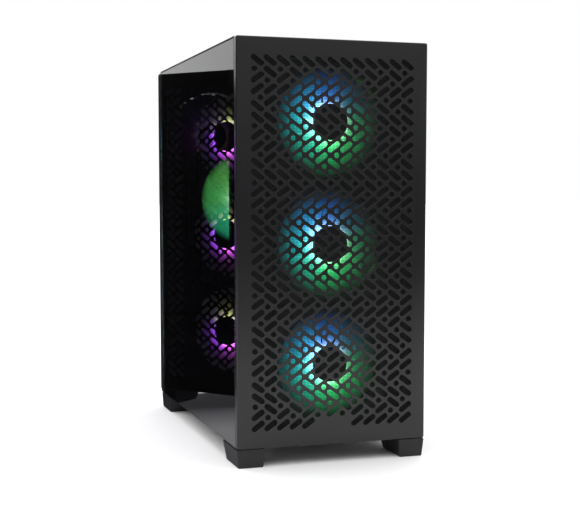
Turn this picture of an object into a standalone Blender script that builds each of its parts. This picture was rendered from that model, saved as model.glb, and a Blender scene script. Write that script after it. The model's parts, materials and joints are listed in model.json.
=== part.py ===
"""Desktop computer tower with a perforated steel front, a glass side and everything inside it.

Sizes are in millimetres and are scaled to metres where a mesh is made. +X is the case's right side
(steel panel), -X its left side (glass), -Y its front, +Z up. The origin is the centre of the
footprint, on the surface that the feet stand on.
"""
import math

import bmesh
import bpy
import numpy as np
from mathutils import Matrix, Vector

MM = 0.001
GAP = 0.3                      # clearance between pieces that touch

# Case
WIDTH = 210.0
BODY_DEPTH = 390.0
BODY_HEIGHT = 423.0
FOOT_HEIGHT = 19.5
SCREW_HEAD = 8.0               # thumbscrew heads stand this far out of the rear
SHEET = 1.2                    # chassis steel
SKIN = 1.0                     # right side panel steel
GLASS = 4.0
HALF = WIDTH / 2
FRONT = -(BODY_DEPTH + SCREW_HEAD) / 2
BACK = FRONT + BODY_DEPTH
BOTTOM = FOOT_HEIGHT
TOP = FOOT_HEIGHT + BODY_HEIGHT
FRONT_LIP = 8.0                # depth of the front panel's folded edge
REAR_STRIP = 14.0              # steel strip behind the glass
SIDE_IN = HALF - GLASS         # inner face of both side panels
WALL_BACK = BACK - 1.5         # outer face of the rear wall

# Inner walls
TRAY_X = 77.8
TRAY_FRONT = FRONT + 36.3
SHROUD_Z = 119.5
FAN_RAIL_Y = FRONT + 33.3      # rear flange of the rails, behind the fans

# 120 mm fans
FAN_SIZE = 120.0
FAN_DEPTH = 25.0
FAN_BORE = 57.0
HUB_R = 19.0
BLADE_TIP = 55.5
FAN_PITCH = 127.5
MID_Z = BOTTOM + BODY_HEIGHT / 2
FRONT_FAN_Z = (MID_Z - FAN_PITCH, MID_Z, MID_Z + FAN_PITCH)
FRONT_FAN_Y = FRONT + 20.0

# Main board and what is plugged into it
BOARD_X = 70.0                 # face that carries the components
BOARD_THICK = 1.6
BOARD_Y = (-38.0, 186.5)
BOARD_Z = (125.5, 369.5)
CPU = (109.0, 277.5)           # processor centre, y and z
COOLER_X = -18.0
COOLER_DEPTH = 50.0
SLOT_PITCH = 20.32
SLOT_Z = [134.0 + SLOT_PITCH * i for i in range(4)]
CARD_FAN_Y = (20.0, 122.0)
CARD_FAN_X = 10.0
CARD_Z = (166.0, 203.0)

# Power supply
PSU_X = (-76.0, 74.0)
PSU_Y = (48.0, WALL_BACK - SHEET - GAP)
PSU_Z = (22.0, 108.0)
PSU_FAN = (-1.0, 116.0)
SWITCH_POS = (-22.0, 186.0, 88.0)
SWITCH_TILT = 6.0              # degrees either side of level
INLET_X = (-64.0, -37.0)
INLET_Z = (78.0, 98.0)

# Buttons and ports in the top's front edge
IO_Y = FRONT + 22.0
POWER_X = 70.0
RESET_X = 52.0
BUTTON_TOP = TOP + 1.2
TOP_PORTS = ((-52.0, 13.0, 5.4), (-30.0, 13.0, 5.4), (-10.0, 9.4, 4.6))
REAR_PORTS = ((340.0, 60.0, 13.0, 5.4), (340.0, 47.0, 13.0, 5.4),
              (318.0, 60.0, 13.0, 5.4), (318.0, 47.0, 13.0, 5.4),
              (296.0, 55.0, 12.0, 11.5), (270.0, 60.0, 15.6, 5.6))

# Name: colour, roughness, metallic
FINISHES = {
    "charcoal_steel": ((0.036, 0.036, 0.040), 0.45, 0.4),
    "black_steel": ((0.012, 0.012, 0.013), 0.5, 0.3),
    "smoked_glass": ((0.02, 0.022, 0.024), 0.05, 0.0),
    "foot_plastic": ((0.05, 0.05, 0.052), 0.5, 0.0),
    "fan_black": ((0.01, 0.01, 0.011), 0.4, 0.0),
    "lit_blade": ((0.05, 0.45, 0.5), 0.35, 0.0),
    "violet_blade": ((0.35, 0.08, 0.5), 0.35, 0.0),
    "green_blade": ((0.15, 0.5, 0.25), 0.35, 0.0),
    "circuit_board": ((0.012, 0.014, 0.013), 0.55, 0.0),
    "port_metal": ((0.5, 0.5, 0.5), 0.35, 0.9),
    "fin_aluminium": ((0.55, 0.56, 0.58), 0.4, 0.9),
    "black_plastic": ((0.015, 0.015, 0.016), 0.45, 0.0),
    "filter_mesh": ((0.02, 0.02, 0.02), 0.7, 0.0),
    "cable_black": ((0.014, 0.014, 0.014), 0.6, 0.0),
}


def finish(name):
    """The material of that name, made the first time it is asked for."""
    material = bpy.data.materials.get(name)
    if material is None:
        colour, roughness, metallic = FINISHES[name]
        material = bpy.data.materials.new(name)
        material.use_nodes = True
        shader = material.node_tree.nodes["Principled BSDF"]
        shader.inputs["Base Color"].default_value = (*colour, 1.0)
        shader.inputs["Roughness"].default_value = roughness
        shader.inputs["Metallic"].default_value = metallic
    return material


def add_object(name, mesh, material, at=(0.0, 0.0, 0.0)):
    """Link a mesh as a named piece whose origin is at the point given in millimetres."""
    piece = bpy.data.objects.new(name, mesh)
    piece.location = Vector(at) * MM
    piece.parent = bpy.data.objects["tower"]
    mesh.materials.clear()
    mesh.materials.append(finish(material))
    bpy.context.scene.collection.objects.link(piece)
    return piece


def to_mesh(bm, name):
    """Turn a bmesh in millimetres into a mesh in metres with its faces pointing out."""
    bm.normal_update()
    bmesh.ops.recalc_face_normals(bm, faces=bm.faces)
    bmesh.ops.scale(bm, vec=(MM, MM, MM), verts=bm.verts)
    mesh = bpy.data.meshes.new(name)
    bm.to_mesh(mesh)
    bm.free()
    return mesh


def smooth(piece, degrees=40.0):
    """Shade round faces smooth and keep the edges sharp."""
    piece.data.shade_smooth()
    piece.data.set_sharp_from_angle(angle=math.radians(degrees))
    return piece


def add_box(bm, x, y, z):
    """Add a closed box between the three (low, high) pairs to a bmesh."""
    centre = Vector(((x[0] + x[1]) / 2, (y[0] + y[1]) / 2, (z[0] + z[1]) / 2))
    size = (x[1] - x[0], y[1] - y[0], z[1] - z[0])
    matrix = Matrix.Translation(centre) @ Matrix.Diagonal((*size, 1.0))
    return bmesh.ops.create_cube(bm, size=1.0, matrix=matrix)["verts"]


def add_cylinder(bm, centre, radius, length, axis="Z", segments=24):
    """Add a closed cylinder along one axis, centred on a point, to a bmesh."""
    turn = {"X": Matrix.Rotation(math.pi / 2, 4, "Y"),
            "Y": Matrix.Rotation(math.pi / 2, 4, "X"),
            "Z": Matrix.Identity(4)}[axis]
    return bmesh.ops.create_cone(bm, cap_ends=True, segments=segments, radius1=radius,
                                 radius2=radius, depth=length,
                                 matrix=Matrix.Translation(Vector(centre)) @ turn)["verts"]


def box(name, x, y, z, material, bevel=0.0):
    """A rectangular piece between three (low, high) pairs, with its edges rounded by a bevel."""
    bm = bmesh.new()
    add_box(bm, x, y, z)
    piece = add_object(name, to_mesh(bm, name), material)
    if bevel:
        edge = piece.modifiers.new("edge", "BEVEL")
        edge.width = bevel * MM
        edge.segments = 1
        edge.limit_method = "ANGLE"
    return piece


def extrude(name, outline, low, high, axis, material):
    """Extrude a closed outline along an axis from low to high.

    The outline's points are (y, z) for X, (x, z) for Y and (x, y) for Z.
    """
    place = {"X": lambda a, b, c: (c, a, b),
             "Y": lambda a, b, c: (a, c, b),
             "Z": lambda a, b, c: (a, b, c)}[axis]
    bm = bmesh.new()
    face = bm.faces.new([bm.verts.new(place(a, b, low)) for a, b in outline])
    moved = bmesh.ops.extrude_face_region(bm, geom=[face])["geom"]
    offset = Vector(place(0.0, 0.0, high - low))
    bmesh.ops.translate(bm, vec=offset, verts=[g for g in moved if isinstance(g, bmesh.types.BMVert)])
    return add_object(name, to_mesh(bm, name), material)


def combine(piece, shapes, operation="DIFFERENCE"):
    """Cut a list of shapes out of a piece, or join them to it.

    Each shape is a function that adds closed geometry to a bmesh.
    """
    for index, shape in enumerate(shapes):
        bm = bmesh.new()
        shape(bm)
        tool = bpy.data.objects.new(f"{piece.name}.{operation.lower()}.{index}",
                                    to_mesh(bm, piece.name + ".tool"))
        tool.parent = piece
        tool.matrix_parent_inverse = Matrix.Translation(-piece.location)
        tool.hide_render = True
        tool.display_type = "WIRE"
        bpy.context.scene.collection.objects.link(tool)
        modifier = piece.modifiers.new(f"{operation.lower()} {index}", "BOOLEAN")
        modifier.operation = operation
        modifier.object = tool
    return piece


def boxes(*spans):
    """A shape for combine: several boxes that stand clear of each other."""
    def shape(bm):
        for x, y, z in spans:
            add_box(bm, x, y, z)
    return shape


def cylinders(centres, radius, length, axis="Z", segments=24):
    """A shape for combine: equal cylinders that stand clear of each other."""
    def shape(bm):
        for centre in centres:
            add_cylinder(bm, centre, radius, length, axis, segments)
    return shape


def span(middle, size):
    """The (low, high) pair of a size about its middle."""
    return (middle - size / 2, middle + size / 2)


# ---------------------------------------------------------------------------------------------
# Chassis

def chassis():
    """Floor, roof, rear wall, fan rails, main board tray and power supply shroud."""
    floor = box("floor_plate", (-SIDE_IN + GAP, SIDE_IN - 0.4), (FRONT + FRONT_LIP + GAP, 188.0),
                (BOTTOM, BOTTOM + SHEET), "black_steel")
    runners = [((s * 71.8 - 1.5, s * 71.8 + 1.5), (20.0, 187.5), (14.0, BOTTOM + 0.6)) for s in (-1, 1)]
    lips = [(span(s * 69.5, 7.0), (20.5, 187.0), (13.4, 14.6)) for s in (-1, 1)]
    combine(floor, [boxes(*runners), boxes(*lips)], "UNION")
    roof = box("roof_plate", (-HALF, HALF), (FRONT + FRONT_LIP + GAP, BACK - REAR_STRIP),
               (TOP - SHEET, TOP), "charcoal_steel")
    ports = [(span(x, w + 1.6), span(IO_Y, h + 1.6), (TOP - 5, TOP + 5)) for x, w, h in TOP_PORTS]
    combine(roof, [boxes(*ports),
                   cylinders([(POWER_X, IO_Y, TOP)], 7.5, 10.0),
                   cylinders([(RESET_X, IO_Y, TOP)], 3.9, 10.0, segments=16)])
    rear_wall()
    fan_rails()
    tray()
    shroud()


def rear_wall():
    """Rear wall with its sloping top flange and openings for ports, cards and power supply."""
    inner = WALL_BACK - SHEET
    low = BOTTOM + SHEET + GAP
    flange_front = BACK - REAR_STRIP + GAP
    outline = [(inner, low), (WALL_BACK, low), (WALL_BACK, TOP - 2.0), (flange_front, TOP),
               (flange_front, TOP - SHEET), (inner, TOP - 2.0 - SHEET)]
    wall = extrude("rear_wall", outline, -SIDE_IN + GAP, SIDE_IN - 0.4, "X", "black_steel")
    through = (inner - 5, WALL_BACK + 5)
    slots = [((-35.0, 62.0), through, span(z, 12.0)) for z in SLOT_Z]
    ports = ((28.0, 72.4), through, (207.5, 366.3))
    supply = ((PSU_X[0] + 4, PSU_X[1] - 4), through, (PSU_Z[0] + 5, PSU_Z[1] - 4))
    combine(wall, [boxes(ports, supply, *slots)])


def fan_rails():
    """Two folded rails, left and right, that carry the front fans and the front panel."""
    near = FRONT + FRONT_LIP + GAP
    far = FAN_RAIL_Y + SHEET
    for side, sign in (("left", -1), ("right", 1)):
        outer = SIDE_IN - (GAP if sign < 0 else 0.4)
        outline = [(outer, near), (outer, far), (50.0, far), (50.0, FAN_RAIL_Y),
                   (outer - SHEET, FAN_RAIL_Y), (outer - SHEET, near + SHEET), (84.0, near + SHEET),
                   (84.0, near)]
        extrude(f"fan_rail_{side}", [(sign * x, y) for x, y in outline],
                BOTTOM + SHEET + GAP, TOP - SHEET - GAP, "Z", "black_steel")


def tray():
    """Wall behind the main board, with cable slots and the board's standoffs."""
    plate = box("board_tray", (TRAY_X, TRAY_X + SHEET), (TRAY_FRONT, 188.0),
                (BOTTOM + SHEET + GAP, TOP - 4.0), "black_steel")
    through = (TRAY_X - 5, TRAY_X + 6)
    slots = [(through, (-80.0, -46.0), z) for z in ((44.0, 92.0), (190.0, 260.0), (290.0, 360.0))]
    slots.append((through, (120.0, 168.0), (385.0, 410.0)))
    combine(plate, [boxes(*slots)])
    length = TRAY_X - BOARD_X - BOARD_THICK
    posts = [(TRAY_X - length / 2 + 0.3, y, z) for y in (-25.0, 80.0, 175.0) for z in (140.0, 245.0, 355.0)]
    combine(plate, [cylinders(posts, 3.0, length, "X", 8)], "UNION")


def shroud():
    """Cover over the power supply: a top plate with a cable slot, and a side plate."""
    y = (TRAY_FRONT, 188.0)
    top = box("shroud_top", (-SIDE_IN + 0.6, TRAY_X - GAP), y, (SHROUD_Z, SHROUD_Z + SHEET),
              "black_steel")
    combine(top, [boxes(((30.0, 66.0), (-100.0, -70.0), (SHROUD_Z - 5, SHROUD_Z + 6)))])
    box("shroud_side", (-SIDE_IN + 0.6, -SIDE_IN + 0.6 + SHEET), y,
        (BOTTOM + SHEET + GAP, SHROUD_Z - GAP), "black_steel")


# ---------------------------------------------------------------------------------------------
# Outer panels

def hollow_tray(name, x, y, z, hollow, material):
    """A folded sheet: a box with the hollow box taken out of one side."""
    piece = box(name, x, y, z, material)
    return combine(piece, [boxes(hollow)])


def front_panel():
    """Folded steel front with its studs. Its pattern of punched slots is a surface detail."""
    y = (FRONT, FRONT + FRONT_LIP)
    hollow = ((-HALF + SHEET, HALF - SHEET), (FRONT + SHEET, FRONT + FRONT_LIP + 5),
              (BOTTOM + SHEET, TOP - SHEET))
    panel = hollow_tray("front_panel", (-HALF, HALF), y, (BOTTOM, TOP), hollow, "charcoal_steel")
    studs = [(sx * 92.0, FRONT + 4.3, z) for sx in (-1, 1) for z in (BOTTOM + 26, TOP - 26)]
    combine(panel, [cylinders(studs, 3.0, FRONT_LIP - 1.4, "Y", 10)], "UNION")


def glass_side():
    """Glass sheet on the left, the steel strip bonded behind it and the strip's rear flange."""
    z = (BOTTOM + 0.4, TOP - 1.5)
    box("glass_panel", (-HALF, -SIDE_IN), (FRONT + 8.4, BACK - REAR_STRIP), z, "smoked_glass", 0.5)
    front = BACK - REAR_STRIP + GAP
    notch = 4.0
    outline = [(front, z[0]), (BACK - notch, z[0]), (BACK - notch, z[0] + notch), (BACK, z[0] + notch),
               (BACK, TOP - SHEET - 2.4), (front + 2.0, z[1]), (front, z[1])]
    strip = extrude("glass_strip", outline, -HALF, -SIDE_IN, "X", "black_steel")
    flange = ((-SIDE_IN - 1.0, -86.0), (WALL_BACK + GAP, BACK - 0.05), (BOTTOM + 25, TOP - 25))
    combine(strip, [boxes(flange)], "UNION")


def steel_side():
    """Folded steel sheet on the right with its rear flange."""
    x = (SIDE_IN - 0.1, HALF)
    y = (FRONT + 8.4, BACK)
    z = (BOTTOM + 0.4, TOP - 1.5)
    hollow = ((x[0] - 5, HALF - SKIN), (y[0] + SKIN, y[1] - SKIN), (z[0] + SKIN, z[1] - SKIN))
    panel = hollow_tray("steel_panel", x, y, z, hollow, "charcoal_steel")
    flange = ((86.0, x[0] + 1.0), (WALL_BACK + GAP, BACK - 0.05), (BOTTOM + 25, TOP - 25))
    combine(panel, [boxes(flange)], "UNION")


def thumbscrews():
    """Knurled screws through the rear flanges of both side panels."""
    length = SCREW_HEAD - GAP
    for side, x in (("left", -93.0), ("right", 93.0)):
        for end, z in (("low", BOTTOM + 50), ("high", TOP - 50)):
            bm = bmesh.new()
            add_cylinder(bm, (0, 0, 0), 5.5, length, "Y", 20)
            name = f"thumbscrew_{side}_{end}"
            smooth(add_object(name, to_mesh(bm, name), "black_steel", (x, BACK + GAP + length / 2, z)))


def feet():
    """Four tapered feet, flush with the front and set in a little at the back."""
    inner, tip_in = 75.0, 1.9
    for side, sign, taper in (("left", -1, 0.9), ("right", 1, 2.5)):
        for end in ("front", "rear"):
            if end == "front":
                low, high = (FRONT, FRONT + 47.5), (FRONT, FRONT + 60.0)
            else:
                low, high = (BACK - 55.0, BACK - 9.5), (BACK - 67.5, BACK - 7.0)
            bm = bmesh.new()
            verts = add_box(bm, (inner, HALF), high, (0.0, FOOT_HEIGHT - GAP))
            for vert in (v for v in verts if v.co.z < 1.0):
                vert.co.x += tip_in if vert.co.x < HALF - 1 else -taper
                vert.co.y = low[0] if vert.co.y < sum(high) / 2 else low[1]
            for vert in verts:
                vert.co.x *= sign
            name = f"foot_{end}_{side}"
            foot = add_object(name, to_mesh(bm, name), "foot_plastic")
            edge = foot.modifiers.new("edge", "BEVEL")
            edge.width = 0.8 * MM
            edge.segments = 1


def filters():
    """Magnetic dust filter on the top and the sliding one under the power supply."""
    box("top_filter", (-90.0, 90.0), (-150.0, 165.0), (TOP + GAP, TOP + 1.6), "filter_mesh")
    sheet = box("base_filter", (-70.0, 70.0), (22.0, 187.5), (15.0, 19.0), "filter_mesh")
    combine(sheet, [boxes(((-20.0, 20.0), (187.0, 190.5), (15.6, 18.4)))], "UNION")


# ---------------------------------------------------------------------------------------------
# Fans

def blade_ring(count, root, tip, rise, sweep, thick, turn):
    """Geometry of evenly spaced twisted blades about the Y axis, with the root inside the hub.

    A point at radius r and chord place c in [-1, 1] stands at angle turn * (sweep * s^1.4 +
    c * width) for s running from 0 at the root to 1 at the tip, and rises by rise * c along Y.
    """
    width = math.radians(150.0 / count)
    s = np.linspace(0.0, 1.0, 4)[:, None]
    c = np.linspace(-1.0, 1.0, 3)[None, :]
    radius = root + (tip - root) * s + 0 * c
    angle = turn * (math.radians(sweep) * s ** 1.4 + c * width)
    depth = rise * c * (1.0 - 0.25 * s)
    grid = np.stack([radius * np.sin(angle), depth, radius * np.cos(angle)], axis=-1)
    rows, columns = grid.shape[:2]
    loop = ([(0, j) for j in range(columns)] + [(i, columns - 1) for i in range(1, rows)]
            + [(rows - 1, j) for j in range(columns - 2, -1, -1)] + [(i, 0) for i in range(rows - 2, 0, -1)])

    def shape(bm):
        for index in range(count):
            spin = Matrix.Rotation(2 * math.pi * index / count, 3, "Y")
            sides = []
            for offset in (-thick / 2, thick / 2):
                sides.append([[bm.verts.new(spin @ (Vector(p) + Vector((0, offset, 0)))) for p in row]
                              for row in grid])
            for verts in sides:
                for i in range(rows - 1):
                    for j in range(columns - 1):
                        bm.faces.new((verts[i][j], verts[i][j + 1], verts[i + 1][j + 1], verts[i + 1][j]))
            for (i, j), (k, m) in zip(loop, loop[1:] + loop[:1]):
                bm.faces.new((sides[0][i][j], sides[0][k][m], sides[1][k][m], sides[1][i][j]))
    return shape


def evaluated(piece):
    """The piece's mesh with its modifiers applied, for several pieces to share."""
    view = bpy.context.evaluated_depsgraph_get()
    view.update()
    return bpy.data.meshes.new_from_object(piece.evaluated_get(view))


def remove(piece):
    """Take a piece and its cutters out of the file."""
    for tool in list(piece.children):
        bpy.data.objects.remove(tool)
    bpy.data.objects.remove(piece)


def rotor_mesh(hub, tip, blades, hub_y, rise, sweep=24.0, turn=1):
    """A hub with its ring of blades, as one closed mesh about the Y axis."""
    bm = bmesh.new()
    add_cylinder(bm, (0, sum(hub_y) / 2, 0), hub, hub_y[1] - hub_y[0], "Y", 24)
    piece = add_object("rotor_master", to_mesh(bm, "rotor_master"), "fan_black")
    combine(piece, [blade_ring(blades, hub - 2.0, tip, rise, sweep, 1.5, turn)], "UNION")
    mesh = evaluated(piece)
    remove(piece)
    return mesh


def frame_mesh():
    """A fan's square frame with its bore, and four arms that carry the motor at the rear."""
    half = FAN_DEPTH / 2
    piece = box("frame_master", span(0, FAN_SIZE), (-half, half), span(0, FAN_SIZE), "fan_black")
    combine(piece, [cylinders([(0, 0, 0)], FAN_BORE, FAN_DEPTH + 4, "Y", 32)])
    arm_y = (half - 3.5, half - 0.1)
    combine(piece, [boxes((span(0, 5.0), arm_y, span(0, 2 * FAN_BORE + 2))),
                    boxes((span(0, 2 * FAN_BORE + 2), arm_y, span(0, 5.0))),
                    cylinders([(0, half - 2.0, 0)], HUB_R, 3.0, "Y", 16)], "UNION")
    mesh = evaluated(piece)
    remove(piece)
    return mesh


def case_fans():
    """Three front fans, the rear fan and the fan of the processor's cooler."""
    frame = frame_mesh()
    rotor = rotor_mesh(HUB_R, BLADE_TIP, 11, (-11.5, 7.0), 7.0)
    places = [(f"front_fan_{i + 1}", (0.0, FRONT_FAN_Y, z), "lit_blade")
              for i, z in enumerate(FRONT_FAN_Z)]
    places.append(("rear_fan", (-35.0, WALL_BACK - SHEET - GAP - FAN_DEPTH / 2, 359.5), "violet_blade"))
    fan_y = CPU[0] - COOLER_DEPTH / 2 - GAP - FAN_DEPTH / 2
    places.append(("cooler_fan", (COOLER_X, fan_y, CPU[1]), "green_blade"))
    for name, centre, blade in places:
        add_object(f"{name}_frame", frame.copy(), "fan_black", centre)
        smooth(add_object(f"{name}_rotor", rotor.copy(), blade, centre), 30)


# ---------------------------------------------------------------------------------------------
# Main board and cards

def main_board():
    """Board, its port block and shield, memory and the regulator's heatsink."""
    box("main_board", (BOARD_X, BOARD_X + BOARD_THICK), BOARD_Y, BOARD_Z, "circuit_board")
    inner = WALL_BACK - SHEET
    block = box("rear_ports", (29.0, BOARD_X - GAP), (165.0, inner - 0.4), (211.0, 362.0), "port_metal")
    mouths = [(span(x, h), (inner - 11, inner + 5), span(z, w)) for z, x, w, h in REAR_PORTS]
    combine(block, [boxes(*mouths)])
    shield = box("port_shield", (28.3, 72.1), (inner + 0.1, WALL_BACK - 0.2), (207.8, 366.0), "port_metal")
    holes = [(span(x, h + 1.2), (inner - 5, inner + 5), span(z, w + 1.2)) for z, x, w, h in REAR_PORTS]
    combine(shield, [boxes(*holes)])
    for index, y in enumerate((33.0, 42.5)):
        box(f"memory_{index + 1}", (38.0, BOARD_X - GAP), (y, y + 7.0), (210.0, 343.0), "black_plastic", 0.8)
    comb("regulator_heatsink", (46.0, BOARD_X - GAP), (141.0, 161.0), (250.0, 340.0), 8, 5.0)


def comb(name, x, y, z, fins, spine):
    """A heatsink: fins across z that stand on a spine against the board."""
    pitch = (z[1] - z[0]) / (fins - 0.5)
    outline = [(x[1], z[0]), (x[1], z[1])]
    for index in reversed(range(fins)):
        low = z[0] + pitch * index
        outline += [(x[0], min(low + pitch / 2, z[1])), (x[0], low)]
        if index:
            outline += [(x[1] - spine, low), (x[1] - spine, low - pitch / 2)]
    return extrude(name, outline, y[0], y[1], "Y", "fin_aluminium")


def cooler():
    """Tower cooler: a foot on the processor and a stack of fins on a central spine."""
    y, z = CPU
    box("cooler_base", (39.0, BOARD_X - GAP), span(y, 40.0), span(z, 40.0), "fin_aluminium", 1.0)
    low, high, fins, thick = COOLER_X - 58.0, 38.5, 18, 1.5
    pitch = (high - low - thick) / (fins - 1)
    half, core = COOLER_DEPTH / 2, 5.0
    left, right = [], []
    for index in range(fins):
        start = low + pitch * index
        right += [(start, half), (start + thick, half)]
        left += [(start, -half), (start + thick, -half)]
        if index < fins - 1:
            right += [(start + thick, core), (start + pitch, core)]
            left += [(start + thick, -core), (start + pitch, -core)]
    outline = [(a, y + b) for a, b in right + left[::-1]]
    extrude("cooler_fins", outline, z - 59.5, z + 59.5, "Z", "fin_aluminium")


def graphics_card():
    """Two-slot card with two fans that face down, its bracket, and blanks over the free slots."""
    inner = WALL_BACK - SHEET
    plate_y = (inner - GAP - 1.0, inner - GAP)
    body = box("card_body", (-46.0, 66.0), (-52.0, plate_y[0] - GAP), CARD_Z, "black_plastic", 1.5)
    centres = [(CARD_FAN_X, y, CARD_Z[0]) for y in CARD_FAN_Y]
    combine(body, [cylinders(centres, 46.0, 28.0, "Z", 32)])
    box("card_bracket", (-42.0, 66.0), plate_y, (165.5, 204.5), "port_metal")
    for index in range(2):
        box(f"slot_cover_{index + 1}", (-42.0, 66.0), plate_y, span(SLOT_Z[index], 18.4), "black_steel")
    rotor = rotor_mesh(15.0, 43.5, 9, (-5.0, 5.0), 3.6)
    rotor.transform(Matrix.Rotation(math.pi / 2, 4, "X"))
    for index, y in enumerate(CARD_FAN_Y):
        name = f"card_fan_{index + 1}"
        smooth(add_object(name, rotor.copy(), "fan_black", (CARD_FAN_X, y, CARD_Z[0] + 7.0)), 30)


# ---------------------------------------------------------------------------------------------
# Power supply, drives, buttons and cables

def power_supply():
    """Sheet metal box with its fan underneath, its mains inlet and its rocker switch."""
    wall = 1.5
    shell = box("psu_case", PSU_X, PSU_Y, PSU_Z, "black_steel")
    inside = tuple((low + wall, high - wall) for low, high in (PSU_X, PSU_Y, PSU_Z))
    rear = (PSU_Y[1] - 6, PSU_Y[1] + 5)
    x, y, z = SWITCH_POS
    combine(shell, [boxes(inside),
                    cylinders([(*PSU_FAN, PSU_Z[0])], 61.0, 10.0, "Z", 32),
                    boxes((INLET_X, rear, INLET_Z), (span(x, 13.2), rear, span(z, 18.4)))])
    rotor = rotor_mesh(19.0, 57.0, 9, (-9.0, 9.0), 6.0)
    rotor.transform(Matrix.Rotation(math.pi / 2, 4, "X"))
    smooth(add_object("psu_fan", rotor, "fan_black", (*PSU_FAN, PSU_Z[0] + wall + 12.0)), 30)
    inlet = box("psu_inlet", (INLET_X[0] + GAP, INLET_X[1] - GAP), (PSU_Y[1] - 20, PSU_Y[1] + 0.8),
                (INLET_Z[0] + GAP, INLET_Z[1] - GAP), "black_plastic")
    mouth = (span(sum(INLET_X) / 2, 23.0), (PSU_Y[1] - 14, PSU_Y[1] + 5), span(sum(INLET_Z) / 2, 15.4))
    combine(inlet, [boxes(mouth)])
    bm = bmesh.new()
    add_box(bm, span(0, 12.4), span(0, 8.0), span(0, 16.0))
    rocker = add_object("psu_switch", to_mesh(bm, "psu_switch"), "black_plastic", SWITCH_POS)
    rocker.rotation_euler = (math.radians(-SWITCH_TILT), 0.0, 0.0)


def drives():
    """Cage with a hard disk under the shroud, and a flat drive behind the board tray."""
    z0 = BOTTOM + SHEET + GAP
    y = (-150.0, 0.0)
    outline = [(-54.0, z0), (54.0, z0), (54.0, 84.0), (52.8, 84.0), (52.8, z0 + SHEET),
               (-52.8, z0 + SHEET), (-52.8, 84.0), (-54.0, 84.0)]
    extrude("drive_cage", outline, y[0], y[1], "Y", "black_steel")
    box("hard_disk", (-50.8, 50.8), (-148.0, -1.0), (34.0, 60.0), "port_metal", 1.0)
    x = TRAY_X + SHEET + GAP
    box("flat_drive", (x, x + 7.0), (0.0, 100.0), (300.0, 370.0), "black_plastic", 0.6)


def top_controls():
    """Port block under the roof's front edge, and the power and reset buttons."""
    floor, deck, block_top = 424.0, 428.0, TOP - SHEET - GAP
    outline = [(-66.0, floor), (82.0, floor), (82.0, deck), (14.0, deck), (14.0, block_top),
               (-66.0, block_top)]
    block = extrude("top_ports", outline, IO_Y - 9.0, IO_Y + 9.0, "Y", "black_plastic")
    mouths = [(span(x, w), span(IO_Y, h), (block_top - 10, block_top + 5)) for x, w, h in TOP_PORTS]
    combine(block, [boxes(*mouths)])
    for name, x, radius, segments in (("power_button", POWER_X, 7.0, 32), ("reset_button", RESET_X, 3.5, 20)):
        bm = bmesh.new()
        low = deck + 3.0
        add_cylinder(bm, (0, 0, (BUTTON_TOP - low) / 2), radius, BUTTON_TOP - low, "Z", segments)
        smooth(add_object(name, to_mesh(bm, name), "black_plastic", (x, IO_Y, low)))


def smooth_route(points, step):
    """Points every step along a Catmull-Rom curve through the points given."""
    p = np.array([points[0], *points, points[-1]], float)
    t = np.linspace(0.0, 1.0, 24, endpoint=False)[:, None]
    runs = []
    for a, b, c, d in zip(p, p[1:], p[2:], p[3:]):
        runs.append(0.5 * (2 * b + (c - a) * t + (2 * a - 5 * b + 4 * c - d) * t ** 2
                           + (3 * b - a - 3 * c + d) * t ** 3))
    curve = np.vstack([*runs, p[-1:]])
    along = np.concatenate([[0.0], np.cumsum(np.linalg.norm(np.diff(curve, axis=0), axis=1))])
    places = np.linspace(0.0, along[-1], max(int(along[-1] / step) + 1, 4))
    return np.stack([np.interp(places, along, curve[:, k]) for k in range(3)], axis=1)


def cable(name, points, radius):
    """A sleeved cable bundle: a round tube with closed ends along a smooth route."""
    curve = bpy.data.curves.new(name, "CURVE")
    curve.dimensions = "3D"
    curve.bevel_depth = radius * MM
    curve.bevel_resolution = 2
    curve.use_fill_caps = True
    route = smooth_route(points, 5.0 * radius)
    spline = curve.splines.new("POLY")
    spline.points.add(len(route) - 1)
    for point, place in zip(spline.points, route):
        point.co = (*(Vector(place) * MM), 1.0)
    piece = bpy.data.objects.new(name, curve)
    piece.parent = bpy.data.objects["tower"]
    curve.materials.append(finish("cable_black"))
    bpy.context.scene.collection.objects.link(piece)


def cables():
    """Power leads from the supply, behind the board tray, to the board and the card."""
    box("main_plug", (56.0, BOARD_X - GAP), (-36.0, -26.0), (296.0, 348.0), "black_plastic", 0.6)
    cable("main_cable", [(62, 47.4, 66), (62, 30, 66), (62, 2, 66), (65, -25, 67), (71, -46, 68),
                         (82, -62, 71), (90, -70, 86), (92, -72, 112), (92, -72, 250), (92, -72, 290),
                         (86, -69, 312), (74, -66, 322), (64, -58, 322), (62, -46, 322),
                         (62, -37.0, 322)], 5.0)
    cable("card_cable", [(20, 47.4, 95), (20, 32, 95), (24, 0, 96), (36, -44, 97), (46, -72, 100),
                         (48, -85, 112), (44, -86, 130), (30, -84, 160), (12, -76, 180), (4, -64, 184),
                         (4, -52.6, 184)], 3.5)
    cable("board_cable", [(64, 47.4, 84), (64, 30, 84), (64, 0, 84), (66, -30, 84), (72, -50, 85),
                          (82, -58, 87), (90, -48, 102), (92, -24, 150), (92, 60, 260), (92, 134, 350),
                          (90, 144, 384), (82, 146, 397), (70, 146, 398), (60, 146, 389), (55, 146, 372),
                          (57, 146, 358), (63, 146, 352), (67.6, 146, 352)], 3.5)


def build():
    """Clear the scene and make every piece of the tower."""
    for old in list(bpy.data.objects):
        bpy.data.objects.remove(old)
    bpy.context.scene.collection.objects.link(bpy.data.objects.new("tower", None))
    chassis()
    front_panel()
    glass_side()
    steel_side()
    thumbscrews()
    feet()
    filters()
    case_fans()
    main_board()
    cooler()
    graphics_card()
    power_supply()
    drives()
    top_controls()
    cables()


build()
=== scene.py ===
"""Looks of a desktop computer tower: slotted steel front over three lit fans, glass on the left side,
four plastic feet, and the complete machine inside. The sections follow the way it is put together.
"""
import json
import math

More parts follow.
